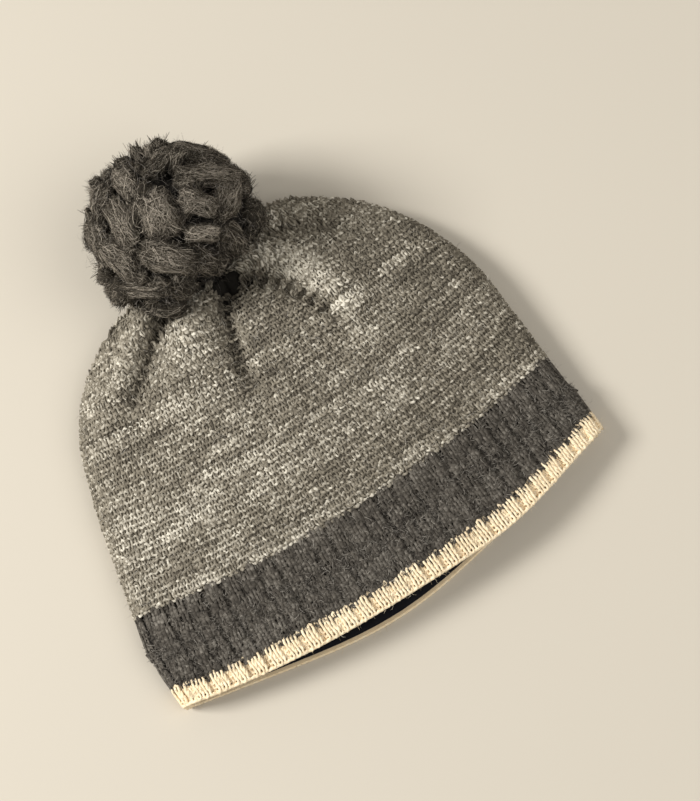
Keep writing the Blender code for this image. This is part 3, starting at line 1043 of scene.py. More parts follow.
@dataclass
class Knitting:
    """Lays yarn in stitches along rows."""

    gauge: Gauge
    columns: tuple[Column, ...]
    rng: np.random.Generator
    swells: Array = field(default_factory=lambda: np.ones(1))
    tuck_place: float = 0.0
    tuck_reach: float = 0.0013
    tuck_depth: float = 0.0016
    # How much darker the yarn is painted along the tuck: painted shade in the fold at the hat's left side.
    tuck_painted_shade: float = 4.0
    wobble_length: float = 0.03
    long_wander: float = 0.045
    short_wander: float = 0.011
    short_share: float = 0.45
    wander_tone: float = 0.6
    lowest_yarn: float = 0.55

    def tuck(self, row: Row, run: Array) -> Array:
        """How far into the tuck beside the hat's left side places along a row lie, from 0 to 1."""
        if self.tuck_place == 0.0:
            return np.zeros(run.shape)
        return np.exp(-(((run + row.length / 4 - self.tuck_place) / self.tuck_reach) ** 2))

    def line(self, row: Row, count: int, low: int, high: int, scale: float = 1.0) -> tuple[Array, ...]:
        """The yarn's own line through some stitches of a row.

        Args:
            row: The row.
            count: How many stitches the whole row has.
            low: The first stitch, counted from the middle of the front panel.
            high: The stitch after the last.
            scale: The yarn's rise as a share of the gauge's.

        Returns:
            Points, normals, radii, distances along the row, and how far forward each point lies, from -1 to 1.
        """
        gauge = self.gauge
        stitches = np.arange(low, high)
        repeat = len(self.columns)
        shares = np.array([c.share for c in self.columns])
        starts = np.concatenate([[0], np.cumsum(shares)[:-1]])
        which = stitches % repeat
        unit_length = row.length / (count / repeat)
        begin = (stitches // repeat + starts[which]) * unit_length
        width = shares[which] * unit_length
        kind = np.array([c.kind.value for c in self.columns])[which]
        sunk = np.array([c.lift for c in self.columns])[which] * self.swells[stitches // repeat % len(self.swells)]
        rise = np.array([c.rise for c in self.columns])[which] * gauge.rise * scale
        jitter = 1 + gauge.unevenness * self.rng.standard_normal((3, len(stitches)))
        slide = gauge.unevenness * self.rng.standard_normal(len(stitches)) * width
        phase = np.arange(gauge.samples) / gauge.samples * TAU
        x = (begin + slide / 2)[:, None] + np.multiply.outer(width, phase / TAU + gauge.bulge * np.sin(2 * phase))
        y = -np.multiply.outer(rise * jitter[0], np.cos(phase))
        forward = np.multiply.outer(kind, np.cos(2 * phase))
        z = gauge.lift + sunk[:, None] + jitter[1][:, None] * gauge.depth * forward
        radius = gauge.radius * np.multiply.outer(jitter[2], np.ones_like(phase))
        x, y, z, radius, forward = (v.ravel() for v in (x, y, z, radius, forward))
        y = y + gauge.wobble * slow_waves(self.rng, x, self.wobble_length)
        z = z - self.tuck_depth * self.tuck(row, x)
        if repeat > 1:
            z = softened(z)
        points, normals, ups, stretch = row.at(x)
        return points + ups * stretch * y[:, None] + normals * z[:, None], normals, radius, x, forward

    def lay(
        self, skein: Skein, row: Row, part: tuple[int, int], count: int, strand: float, tone: float,
        scale: float = 1.0, thick: float = 1.0, painted_light_cloth: HatCloth | None = None,
    ) -> None:
        """Lays one strand of stitches into a skein.

        Args:
            skein: What the yarn is added to.
            row: The row that it follows.
            part: The first stitch and the stitch after the last.
            count: How many stitches the whole row has.
            strand: The strand's number.
            tone: How light the strand is.
            scale: The yarn's rise as a share of the gauge's.
            thick: The yarn's radius as a share of the gauge's.
            painted_light_cloth: The cloth whose painted light and shade, in its creases, ridges and patches, the
                strand follows.
        """
        points, normals, radius, x, forward = self.line(row, count, part[0], part[1], scale)
        points[:, 2] = np.maximum(points[:, 2], self.lowest_yarn * self.gauge.radius)
        rings = tube_rings(points[None], normals[None], radius[None] * thick, self.gauge.sides, self.gauge.flat)
        rings[..., 2] = np.maximum(rings[..., 2], 0.0)
        run = np.concatenate([[0], np.cumsum(np.linalg.norm(np.diff(points, axis=0), axis=1))])
        wander = slow_waves(self.rng, x, self.long_wander)
        wander += self.short_share * slow_waves(self.rng, x, self.short_wander)
        # Painted shade: yarn that lies back between the loops is darker, and so is yarn in the tuck at the left side.
        sunk = self.gauge.recess_painted_shade * (1 - forward) / 2 + self.tuck_painted_shade * self.tuck(row, x)
        # The crown's yarn takes the cloth's painted shade in creases and painted light on ridges and patches.
        if painted_light_cloth is not None:
            place = points + painted_light_cloth.origin
            sunk = sunk - painted_light_cloth.form.painted_light_and_shade(place[:, 0], place[:, 1])
        tones = tone + self.wander_tone * wander - sunk
        skein.add(rings, run[None], np.array([strand]), tones[None], True)


def split_rows(count: int, overlap: int = 3) -> tuple[tuple[int, int], tuple[int, int]]:
    """The stitches of a row that lie on the upper side, a few past its sides, and those that lie below."""
    quarter = math.ceil(count / 4) + overlap
    return (-quarter, quarter + 1), (quarter, count - quarter + 1)


@dataclass
class Crown:
    """The marled crown: purl rows parallel to the brim, over a dark cloth that keeps the crown's form."""

    cloth: HatCloth
    stitch_width: float = 0.0031
    stitch_height: float = 0.00275
    upper: Gauge = Gauge(
        radius=0.00077, rise=0.00176, depth=0.00046, bulge=0.15, lift=-0.00060, flat=0.85, samples=8, sides=4,
        unevenness=0.18, wobble=0.00034, recess_painted_shade=0.6,
    )
    lower: Gauge = Gauge(
        radius=0.00072, rise=0.00190, depth=0.00045, bulge=0.16, lift=-0.00080, flat=0.85, samples=5, sides=3,
        unevenness=0.14, wobble=0.00020, recess_painted_shade=0.9,
    )
    fewest_stitches: int = 5
    tone_spread: float = 0.45
    first_row_tone: float = 0.35
    first_row_rise: float = 0.5
    first_row_thickness: float = 1.12
    piece_border: float = 0.048
    backing_inset: float = 0.0012
    gather_shade_reach: float = 0.021
    tip_share: float = 0.05
    open_courses: int = 6
    backing_around: int = 110
    backing_courses: int = 54
    yarn: YarnFinish = YarnFinish(
        "marled wool", (0.086, 0.073, 0.054), (0.258, 0.226, 0.171), (0.74, 0.685, 0.565),
        0.66, 0.32, 0.08, 0.22, 0.0046,
    )
    under: ClothFinish = ClothFinish(
        "marled wool ground", (0.125, 0.109, 0.082), (0.34, 0.30, 0.23), 0.0014, 0.0003
    )
    # Painted shade: a near-black ground round the gather, right below the pompom.
    gather_shade: ClothFinish = ClothFinish(
        "painted shade wool ground", (0.006, 0.005, 0.004), (0.022, 0.019, 0.014), 0.0014, 0.0003
    )
    seed: int = 11

    def build(self) -> list[bpy.types.Object]:
        """Builds the yarn and the cloth under it."""
        rng = np.random.default_rng(self.seed)
        above = Knitting(self.upper, (Column(1.0, StitchKind.PURL),), rng)
        below = Knitting(self.lower, (Column(1.0, StitchKind.PURL),), rng)
        skeins = [Skein("crown_knit_lower_front"), Skein("crown_knit_upper_front"), Skein("crown_knit_underside")]
        strand, place = 1.0, 0.5 * self.stitch_height
        while place < self.cloth.row_place.max():
            for row in self.cloth.crown_rows(place):
                count = max(self.fewest_stitches, round(row.length / self.stitch_width))
                first = strand < 2
                tone = self.first_row_tone if first else float(rng.normal(0, self.tone_spread))
                skein = skeins[0 if place < self.piece_border else 1]
                front, back = split_rows(count)
                scale, thick = (self.first_row_rise, self.first_row_thickness) if first else (1.0, 1.0)
                above.lay(skein, row, front, count, strand, tone, scale, thick, self.cloth)
                below.lay(skeins[2], row, back, count, strand, tone, scale)
                strand += 1
            place += self.stitch_height
        material = self.yarn.material()
        pieces = [skein.mesh(material) for skein in skeins]
        pieces.append(self.backing())
        return pieces

    def backing(self) -> bpy.types.Object:
        """The cloth under the yarn: the crown's wall, closed at the gather, and near-black round the gather as painted
        shade below the pompom.
        """
        courses = np.linspace(0.001, 1.0, self.backing_courses)
        outer = self.cloth.loops(courses, self.backing_around, self.backing_inset)
        inner = self.cloth.loops(courses[: -self.open_courses], self.backing_around, self.cloth.form.knit_wall)
        tips = []
        for last in (inner[-1:], outer[-1:]):
            middle = last.mean(axis=1, keepdims=True)
            tips.append(middle + self.tip_share * (last - middle))
        rings = np.concatenate([tips[0], inner[::-1], outer, tips[1]])
        quads, bake = grid_quads(len(rings), self.backing_around, True)
        made = quad_object("crown_ground", rings.reshape(-1, 3), quads, bake)
        made.data.materials.append(self.under.material())
        made.data.materials.append(self.gather_shade.material())
        centres = np.zeros(len(quads) * 3)
        made.data.polygons.foreach_get("center", centres)
        away = np.linalg.norm(centres.reshape(-1, 3) - outer[-1].mean(axis=0), axis=1)
        # Faces near the gather take the painted shade.
        made.data.polygons.foreach_set("material_index", (away < self.gather_shade_reach).astype(np.int32))
        return made

    def dress(self) -> None:
        """Builds the crown and sets it in the hat's place."""
        for piece in self.build():
            dress(piece, "marl_knit", "crown")


@dataclass
class Ribbing:
    """The ribbed band and the cream edge, knitted in one pattern of two knit columns and a sunk one."""

    cloth: HatCloth
    repeats: int = 54
    columns: tuple[Column, ...] = (
        Column(0.365, StitchKind.KNIT), Column(0.365, StitchKind.KNIT), Column(0.27, StitchKind.PURL, -0.0010),
    )
    band_gauge: Gauge = Gauge(
        radius=0.00100, rise=0.00235, depth=0.00012, bulge=0.15, lift=-0.00030, flat=0.72, samples=8, sides=4,
        unevenness=0.20, wobble=0.0002, recess_painted_shade=0.3,
    )
    edge_gauge: Gauge = Gauge(
        radius=0.00076, rise=0.0026, depth=0.00036, bulge=0.17, lift=-0.00020, flat=0.9, samples=10, sides=4,
        unevenness=0.06, recess_painted_shade=1.0,
    )
    under_gauge: Gauge = Gauge(
        radius=0.00078, rise=0.00235, depth=0.00030, bulge=0.16, lift=-0.00085, flat=0.8, samples=5, sides=3,
        unevenness=0.08,
    )
    band_rows: int = 13
    edge_shares: tuple[float, ...] = (0.30, 0.56, 0.84)
    edge_rises: tuple[float, ...] = (0.90, 0.95, 1.20)
    cast_on_radius: float = 0.0009
    cast_on_inset: float = 0.0009
    cast_on_points: int = 900
    cast_on_sides: int = 6
    cast_on_bead: float = 0.0029
    cast_on_rise: float = 0.00018
    cast_on_swell: float = 0.14
    cast_on_flat: float = 1.15
    cast_on_strand: float = 95.0
    first_strands: tuple[float, float] = (60.0, 80.0)
    lip_round: float = 0.0005
    ground_inset: float = 0.0018
    ground_around: int = 162
    swell_spread: float = 0.5
    swell_limits: tuple[float, float] = (0.25, 1.6)
    band_spread: float = 0.5
    edge_spread: float = 0.3
    tuck_place: float = 0.0088
    charcoal: YarnFinish = YarnFinish(
        "charcoal heather wool", (0.017, 0.0145, 0.0115), (0.094, 0.082, 0.066), (0.27, 0.245, 0.205),
        0.30, 0.62, 0.02, 0.14, 0.0035, 0.0013,
    )
    cream: YarnFinish = YarnFinish(
        "cream wool", (0.66, 0.50, 0.31), (0.96, 0.79, 0.53), (0.99, 0.91, 0.72), 0.12, 0.20, 0.10, 0.10
    )
    band_ground: ClothFinish = ClothFinish(
        "charcoal wool ground", (0.020, 0.017, 0.0135), (0.085, 0.074, 0.060), 0.0015, 0.0003
    )
    edge_ground: ClothFinish = ClothFinish(
        "cream wool ground", (0.50, 0.37, 0.22), (0.80, 0.65, 0.43), 0.0015, 0.0003
    )
    seed: int = 23

    def lay_rows(
        self, names: tuple[str, str], gauge: Gauge, courses: Array, rises: Array, swells: Array,
        rng: np.random.Generator, spread: float,
    ) -> list[Skein]:
        """Lays ribbed rows.

        Args:
            names: Names of the pieces for the upper and the lower side.
            gauge: The stitches' sizes on the upper side.
            courses: Each row's course.
            rises: Each row's rise as a share of the gauge's.
            swells: How deep each groove is as a share of the usual.
            rng: The source of unevenness.
            spread: How much the rows' tones differ.

        Returns:
            The skeins of the upper and the lower side.
        """
        above = Knitting(gauge, self.columns, rng, swells, self.tuck_place)
        below = Knitting(self.under_gauge, self.columns, rng, swells)
        skeins = [Skein(names[0]), Skein(names[1])]
        count = self.repeats * len(self.columns)
        for index, (course, rise) in enumerate(zip(courses, rises)):
            row = self.cloth.band_row(course)
            tone = float(rng.normal(0, spread))
            front, back = split_rows(count)
            above.lay(skeins[0], row, front, count, self.first_strands[0] + index, tone, rise)
            below.lay(skeins[1], row, back, count, self.first_strands[1] + index, tone, rise)
        return skeins

    def ground(self, name: str, courses: Array, rounded: bool) -> bpy.types.Object:
        """The cloth under the yarn at some courses, with its inner face."""
        outer = self.cloth.loops(courses, self.ground_around, self.ground_inset)
        inner = self.cloth.loops(courses[::-1], self.ground_around, self.cloth.form.knit_wall)
        rings = [*inner, *outer]
        if rounded:
            lip = (outer[0] + inner[-1]) / 2
            lip[:, 1] -= self.lip_round
            rings = [*inner, lip, *outer]
        quads, bake = grid_quads(len(rings), self.ground_around, True, True)
        return quad_object(name, np.array(rings).reshape(-1, 3), quads, bake)

    def cast_on(self, rng: np.random.Generator) -> Skein:
        """The smooth cast-on edge at the rim."""
        skein = Skein("edge_cast_on", 60)
        row, thick = self.cloth.band_row(-1.0), self.cast_on_radius
        at = np.linspace(0, row.length, self.cast_on_points)
        points, normals, ups, _ = row.at(at)
        beat = np.sin(at * TAU / self.cast_on_bead)
        line = points - normals * self.cast_on_inset + ups * (thick + self.cast_on_rise * beat)[:, None]
        line[:, 2] = np.maximum(line[:, 2], 0.8 * thick)
        radius = thick * (1 + self.cast_on_swell * beat)
        rings = tube_rings(line[None], normals[None], radius[None], self.cast_on_sides, self.cast_on_flat)
        rings[..., 2] = np.maximum(rings[..., 2], 0.0)
        tone = 0.3 + 0.25 * slow_waves(rng, at, 0.03)
        skein.add(rings, at[None], np.array([self.cast_on_strand]), tone[None], True)
        return skein

    def dress(self) -> None:
        """Builds the band and the edge and sets them in place."""
        rng = np.random.default_rng(self.seed)
        swells = np.clip(1 + self.swell_spread * rng.standard_normal(self.repeats), *self.swell_limits)
        change = self.cloth.form.seam_course(self.cloth.form.edge_height)
        band_courses = self.cloth.even_courses(change, 0.0, (np.arange(self.band_rows) + 0.5) / self.band_rows)
        edge_courses = self.cloth.even_courses(-1.0, change, np.array(self.edge_shares))
        charcoal, cream = self.charcoal.material(), self.cream.material()
        band = self.lay_rows(
            ("band_knit_front", "band_knit_underside"), self.band_gauge, band_courses,
            np.ones(self.band_rows), swells, rng, self.band_spread,
        )
        for skein in band:
            dress(skein.mesh(charcoal), "charcoal_rib", "band")
        edge = self.lay_rows(
            ("edge_knit_front", "edge_knit_underside"), self.edge_gauge, edge_courses,
            np.array(self.edge_rises), swells, rng, self.edge_spread,
        )
        for skein in (*edge, self.cast_on(rng)):
            dress(skein.mesh(cream), "cream_rib", "edge_trim")
        band_under = self.ground("band_ground", np.linspace(change, 0.0, 11), False)
        band_under.data.materials.append(self.band_ground.material())
        dress(band_under, "charcoal_rib", "band")
        edge_under = self.ground("edge_ground", np.linspace(self.cloth.form.seam_course(0.0012), change, 4), True)
        edge_under.data.materials.append(self.edge_ground.material())
        dress(edge_under, "cream_rib", "edge_trim")


@dataclass
class Lining:
    """The black fleece inside the band and lower crown."""

    cloth: HatCloth
    setback: float = 0.0020
    gap: float = 0.0003
    wall: float = 0.002
    top_course: float = 0.30
    around: int = 120
    rows: int = 24
    fleece: ClothFinish = ClothFinish("black fleece", (0.003, 0.003, 0.004), (0.014, 0.014, 0.017), 0.0022, 0.0006)
    seed: int = 37

    def dress(self) -> None:
        """Builds the lining and sets it in place."""
        form = self.cloth.form
        rng = np.random.default_rng(self.seed)
        courses = np.linspace(form.seam_course(self.setback), self.top_course, self.rows)
        outer = self.cloth.loops(courses, self.around, form.knit_wall + self.gap)
        inner = self.cloth.loops(courses[::-1], self.around, form.knit_wall + self.gap + self.wall)
        inner = inner + rng.normal(0, 0.00012, inner.shape)
        rings = np.concatenate([inner, outer])
        quads, bake = grid_quads(len(rings), self.around, True, True)
        made = quad_object("lining_fleece", rings.reshape(-1, 3), quads, bake)
        made.data.materials.append(self.fleece.material())
        dress(made, "black_fleece", "lining")


# The pompom: clumps, tufts and their fibres.


class LockKind(Enum):
    """How a lock of the pompom shows: a lying bundle, a cut end, or a finger that sticks out."""

    BUNDLE = 1
    CUT_END = 2
    FINGER = 3


class Lock(NamedTuple):
    """A lock of wool. Place is in plan from the pompom's middle, and lean is the long way's angle in plan."""

    x: float
    y: float
    lean: float
    length: float
    width: float
    rise: float
    tone: float
    kind: LockKind = LockKind.BUNDLE


# Each lock's tone is partly its own and partly painted light and shade: most locks towards -Y are lighter and those
# towards +Y darker.
PLACED_LOCKS = (
    Lock(-0.0063, -0.0039, -98, 0.0110, 0.0098, 0.0050, 0.30),
    Lock(0.0067, -0.0199, -33, 0.0086, 0.0046, 0.0030, 0.55, LockKind.CUT_END),
    Lock(-0.0140, -0.0199, -53, 0.0135, 0.0082, 0.0030, 0.05),
    Lock(0.0106, -0.0072, -48, 0.0092, 0.0060, 0.0040, 0.15),
    Lock(0.0256, -0.0104, 27, 0.0125, 0.0072, 0.0010, 0.20),
    Lock(0.0262, 0.0020, -13, 0.0175, 0.0062, 0.0020, 0.10),
    Lock(0.0318, 0.0132, -18, 0.0135, 0.0062, 0.0000, -0.20),
    Lock(0.0240, 0.0230, -8, 0.0125, 0.0062, 0.0000, -0.35),
    Lock(0.0077, 0.0225, 37, 0.0110, 0.0058, 0.0030, -0.35),
    Lock(0.0140, 0.0350, 70, 0.0085, 0.0042, 0.0005, -0.45, LockKind.FINGER),
    Lock(-0.0060, 0.0360, 100, 0.0085, 0.0044, 0.0005, -0.35, LockKind.FINGER),
    Lock(0.0028, 0.0365, 85, 0.0080, 0.0030, 0.0000, -0.25, LockKind.FINGER),
    Lock(-0.0103, 0.0200, -88, 0.0115, 0.0058, 0.0020, 0.05),
    Lock(-0.0236, 0.0225, 47, 0.0105, 0.0060, 0.0010, -0.10),
    Lock(-0.0223, 0.0049, -93, 0.0125, 0.0066, 0.0030, 0.15),
    Lock(-0.0350, 0.0088, -103, 0.0125, 0.0070, 0.0000, 0.00),
    Lock(-0.0315, -0.0075, -68, 0.0135, 0.0080, 0.0010, 0.00),
    Lock(-0.0286, -0.0230, -3, 0.0125, 0.0062, 0.0000, -0.15),
    Lock(0.0360, -0.0025, 7, 0.0115, 0.0070, 0.0000, -0.10),
    Lock(-0.0100, -0.0262, -43, 0.0085, 0.0052, 0.0010, -0.20),
)


@dataclass
class Clump:
    """A lock's own lumpy ellipsoid: its middle, its long, wide and outward ways, and its three half sizes."""

    middle: Array
    ways: Array
    sizes: Array
    tone: float
    waves: Array
    kind: LockKind
    lump_height: float = 0.07
    lump_paces: tuple[float, float, float] = (5.2, 6.3, 5.7)
    end_flare: float = 0.9

    def at(self, spots: Array, swell: Array | float = 1.0) -> Array:
        """Points of the clump's face.

        Args:
            spots: Directions in the clump's own three ways.
            swell: The distance from the middle as a share of the face's.

        Returns:
            The points.
        """
        lumps = 1 + sum(
            self.lump_height * np.sin(pace * spots[..., axis] + start)
            for axis, (pace, start) in enumerate(zip(self.lump_paces, self.waves))
        )
        reach = np.asarray(lumps * swell)[..., None] * np.ones(3)
        if self.kind is LockKind.FINGER:
            reach[..., 1:] *= np.sqrt(1 + np.clip(spots[..., :1] ** 2, 0, self.end_flare))
        return self.middle + (spots * reach * self.sizes) @ self.ways


@dataclass
class PomPom:
    """The pompom: clumps of cut wool over a dark head."""

    cloth: HatCloth
    diameter: float = 0.083
    offset: tuple[float, float, float] = (-0.0075, 0.0245, 0.0175)
    lock_count: int = 46
    head_share: float = 0.88
    clump_around: int = 14
    clump_along: int = 11
    fibre_points: int = 4
    fibre_width: float = 0.00025
    fibre_length: tuple[float, float] = (0.0035, 0.0095)
    placed_fibres: float = 3.6e6
    other_fibres: float = 1.2e6
    tuft_fibres: float = 2.4e6
    tuft_count: int = 76
    fringe_count: int = 40
    # Painted light and shade on the pompom: fibres on a clump's outer crest are lighter and those on its sides darker.
    crest_painted_shading: float = 1.3
    crown_clearance: float = 0.0055
    flat_way: tuple[float, float, float] = (0.161, -0.987, 0.0)
    flat_reach: float = 0.0275
    head_inset: float = 0.004
    clump_spacing: float = 0.0085
    steepest: float = 0.12
    fibre_lift: float = 0.16
    lowest_fibre: float = 0.0002
    bare_side: float = -0.45
    finger_lean: float = 0.5
    finger_length: float = 0.75
    finger_depth: float = 0.30
    bundle_height: float = 0.9
    bundle_depth: float = 0.55
    tuft_scatter: float = 0.10
    body_share: float = 0.97
    body_ends: float = 0.04
    cell_margin: float = 0.03
    fibre_turn: float = 0.55
    fibre_scatter: float = 0.35
    fringe_start: float = 0.45
    fringe_fan: float = 0.35
    fringe_length: tuple[float, float] = (0.0022, 0.0058)
    fibre_taper: tuple[float, ...] = (0.6, 1.0, 1.0, 0.5)
    fibre_run: float = 0.006
    wool: YarnFinish = YarnFinish(
        "pompom wool", (0.009, 0.0075, 0.0052), (0.068, 0.056, 0.040), (0.39, 0.34, 0.27),
        0.20, 0.30, 0.0, 0.30, 0.010, 0.0014,
    )
    tuft: ClothFinish = ClothFinish("pompom wool tuft", (0.006, 0.005, 0.0037), (0.080, 0.067, 0.049), 0.0010, 0.0008)
    # The head is the wool's darkest fibres, made near-black as painted shade in the gaps between the locks.
    ground: ClothFinish = ClothFinish(
        "pompom wool ground and painted shade", (0.005, 0.004, 0.003), (0.018, 0.015, 0.012), 0.002, 0.0006
    )
    seed: int = 41

    def __post_init__(self) -> None:
        """Finds the pompom's middle and its packed outer face."""
        gather = self.cloth.loops(np.array([1.0]), 84, 0.0)[0].mean(axis=0)
        self.middle = gather + np.array(self.offset)
        self.node = bpy.data.objects["pompom"]
        graph = bpy.context.evaluated_depsgraph_get()
        self.face = BVHTree.FromObject(self.node, graph)
        self.crown_face = BVHTree.FromObject(bpy.data.objects["crown"], graph)

    def surface(self, direction: Array) -> Array:
        """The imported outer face's point in one direction, moved in where the pompom is pressed towards the crown."""
        hit = self.face.ray_cast(Vector(self.middle), Vector(direction))
        spot = self.middle + direction * self.diameter / 2 if hit[0] is None else np.array(hit[0])
        flat_way = np.array(self.flat_way)
        return spot - flat_way * max((spot - self.middle) @ flat_way - self.flat_reach, 0)

    def directions(self, count: int) -> Array:
        """Directions spread evenly over a sphere on a golden spiral."""
        index = np.arange(count) + 0.5
        height = 1 - 2 * index / count
        turn = math.pi * (1 + math.sqrt(5)) * index
        radius = np.sqrt(1 - height**2)
        return np.column_stack([radius * np.cos(turn), radius * np.sin(turn), height])

    def clump(self, lock: Lock, out: Array, long_way: Array, rng: np.random.Generator) -> Clump:
        """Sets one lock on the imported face.

        Args:
            lock: The lock.
            out: Its direction from the pompom's middle.
            long_way: Its long way, not yet square to that direction.
            rng: The source of unevenness.

        Returns:
            The clump.
        """
        spot = self.surface(out)
        if lock.kind is LockKind.FINGER:
            long_way = unit(out + self.finger_lean * long_way)
            wide_way = unit(np.cross(out, long_way))
            ways = np.array([long_way, wide_way, np.cross(long_way, wide_way)])
            sizes = np.array([lock.length * self.finger_length, lock.width, lock.width])
            middle = spot - out * (self.finger_depth * lock.length - lock.rise)
        else:
            long_way = unit(long_way - out * (long_way @ out))
            ways = np.array([long_way, np.cross(out, long_way), out])
            sizes = np.array([lock.length, lock.width, lock.width * self.bundle_height])
            middle = spot + out * (lock.rise - self.bundle_depth * lock.width)
        return Clump(middle, ways, sizes, lock.tone, rng.uniform(0, TAU, 3), lock.kind)

    def placed_clumps(self, rng: np.random.Generator) -> list[Clump]:
        """The clumps that show on the upper side."""
        radius = self.diameter / 2
        made = []
        for lock in PLACED_LOCKS:
            flat = math.hypot(lock.x, lock.y)
            up = math.sqrt(max(radius**2 - flat**2, (self.steepest * radius) ** 2))
            lean = math.radians(lock.lean)
            long_way = np.array((math.cos(lean), math.sin(lean), 0.0))
            made.append(self.clump(lock, unit(np.array((lock.x, lock.y, up))), long_way, rng))
        return made

    def near_crown(self, spot: Array) -> bool:
        """Whether a place is so near the crown that a clump there would cover it."""
        return self.crown_face.find_nearest(Vector(spot), self.crown_clearance)[0] is not None

    def tufts(self, rng: np.random.Generator) -> list[Clump]:
        """Short cut tufts that stand out between the clumps."""
        made = []
        for out in self.directions(self.tuft_count):
            out = unit(out + rng.normal(0, self.tuft_scatter, 3))
            if self.near_crown(self.surface(out)):
                continue
            aside = unit(np.cross(out, rng.normal(size=3))) * rng.uniform(0.6, 2.6)
            lock = Lock(
                0, 0, 0, rng.uniform(0.0065, 0.0095), rng.uniform(0.0024, 0.0036),
                rng.uniform(-0.0012, 0.0016), rng.uniform(-0.6, 0.5), LockKind.FINGER,
            )
            made.append(self.clump(lock, out, aside, rng))
        return made

    def other_clumps(self, placed: list[Clump], rng: np.random.Generator) -> list[Clump]:
        """The clumps all over the rest of the pompom, at the crests of its packed form."""
        made = []
        for index, out in enumerate(self.directions(self.lock_count)):
            spot = self.surface(out)
            nearest = min(np.linalg.norm(clump.middle - spot) for clump in placed)
            if nearest < self.clump_spacing or self.near_crown(spot):
                continue
            twist = 2.4 * index
            long_way = np.cross(out, np.array((math.cos(twist), math.sin(twist), 0.3)))
            length, width, tone = rng.uniform((0.010, 0.0062, -0.4), (0.0135, 0.0080, 0.2))
            lock = Lock(0, 0, 0, length, width, 0.0, tone)
            made.append(self.clump(lock, out, long_way, rng))
        return made

    def fibres(self, clump: Clump, count: int, rng: np.random.Generator) -> tuple[Array, Array, Array]:
        """Fibres that lie over one clump.

        Args:
            clump: The clump.
            count: How many fibres it has.
            rng: The source of unevenness.

        Returns:
            Points by fibre, place and axis, the clump's outward directions there, and how far out each fibre starts.
        """
        spots = rng.normal(size=(count, 3))
        spots[:, 2] = np.where(spots[:, 2] < self.bare_side, -spots[:, 2], spots[:, 2])
        if clump.kind is LockKind.FINGER:
            spots[:, 0] = np.abs(spots[:, 0]) * 1.2 - 0.4
        spots = unit(spots)
        stray = 1.3 if clump.kind is LockKind.CUT_END else 0.6
        heading = np.array((1.0, 0, 0)) * rng.choice((-1, 1), (count, 1)) + rng.normal(0, stray, (count, 3))
        turn = rng.normal(0, self.fibre_turn, (count, 3))
        pace = rng.uniform(*self.fibre_length, (count, 1)) / (self.fibre_points - 1) / clump.sizes.mean()
        lift = rng.uniform(0, 1, count) ** 2 * self.fibre_lift
        start = rng.uniform(-0.05, 0.06, count)
        places, outs, crest = [], [], spots[:, 2]
        for step in range(self.fibre_points):
            part = step / (self.fibre_points - 1)
            places.append(clump.at(spots, 1 + start + lift * (2 * part - 1) ** 2))
            outs.append(unit((spots / clump.sizes) @ clump.ways))
            heading = unit(heading - spots * (heading * spots).sum(axis=1, keepdims=True))
            spots = unit(spots + heading * pace)
            heading = heading + turn + rng.normal(0, self.fibre_scatter, (count, 3))
        return np.stack(places, axis=1), np.stack(outs, axis=1), crest

    def bodies(self, clumps: list[Clump]) -> bpy.types.Object:
        """The clumps' own lumpy bodies, as one mesh."""
        along = np.linspace(self.body_ends, math.pi - self.body_ends, self.clump_along)[:, None]
        around = np.arange(self.clump_around)[None, :] / self.clump_around * TAU
        spots = np.stack(np.broadcast_arrays(
            np.cos(along), np.sin(along) * np.cos(around), np.sin(along) * np.sin(around)
        ), axis=-1)
        quads, bake = grid_quads(self.clump_along, self.clump_around, True)
        points, faces, maps = [], [], []
        across = math.ceil(math.sqrt(len(clumps)))
        for index, clump in enumerate(clumps):
            points.append(np.maximum(clump.at(spots, self.body_share).reshape(-1, 3), (-1.0, -1.0, 0.0)))
            faces.append(quads + index * self.clump_along * self.clump_around)
            corner = np.array((index % across, index // across))
            maps.append((bake * (1 - 2 * self.cell_margin) + self.cell_margin + corner) / across)
        return quad_object("pompom_tufts", np.vstack(points), np.vstack(faces), np.vstack(maps))

    def fringe(self, clump: Clump, rng: np.random.Generator) -> tuple[Array, Array]:
        """Points and outward directions of the fibres that stand out of a tuft's cut end."""
        count = self.fringe_count
        angle, radius = rng.uniform(0, TAU, count), np.sqrt(rng.uniform(0, 1, count)) * 0.95
        across = np.column_stack([radius * np.cos(angle), radius * np.sin(angle)])
        start = np.column_stack([np.full(count, self.fringe_start), across])
        heading = np.column_stack([np.ones(count), self.fringe_fan * across + rng.normal(0, 0.16, (count, 2))])
        heading = heading * rng.uniform(*self.fringe_length, (count, 1))
        bend = rng.normal(0, 0.0006, (count, 3))
        part = np.linspace(0, 1, self.fibre_points)[None, :, None]
        local = (start * clump.sizes)[:, None, :] + heading[:, None, :] * part + bend[:, None, :] * part**2
        outs = np.broadcast_to(clump.ways[2], local.shape)
        return clump.middle + local @ clump.ways, outs

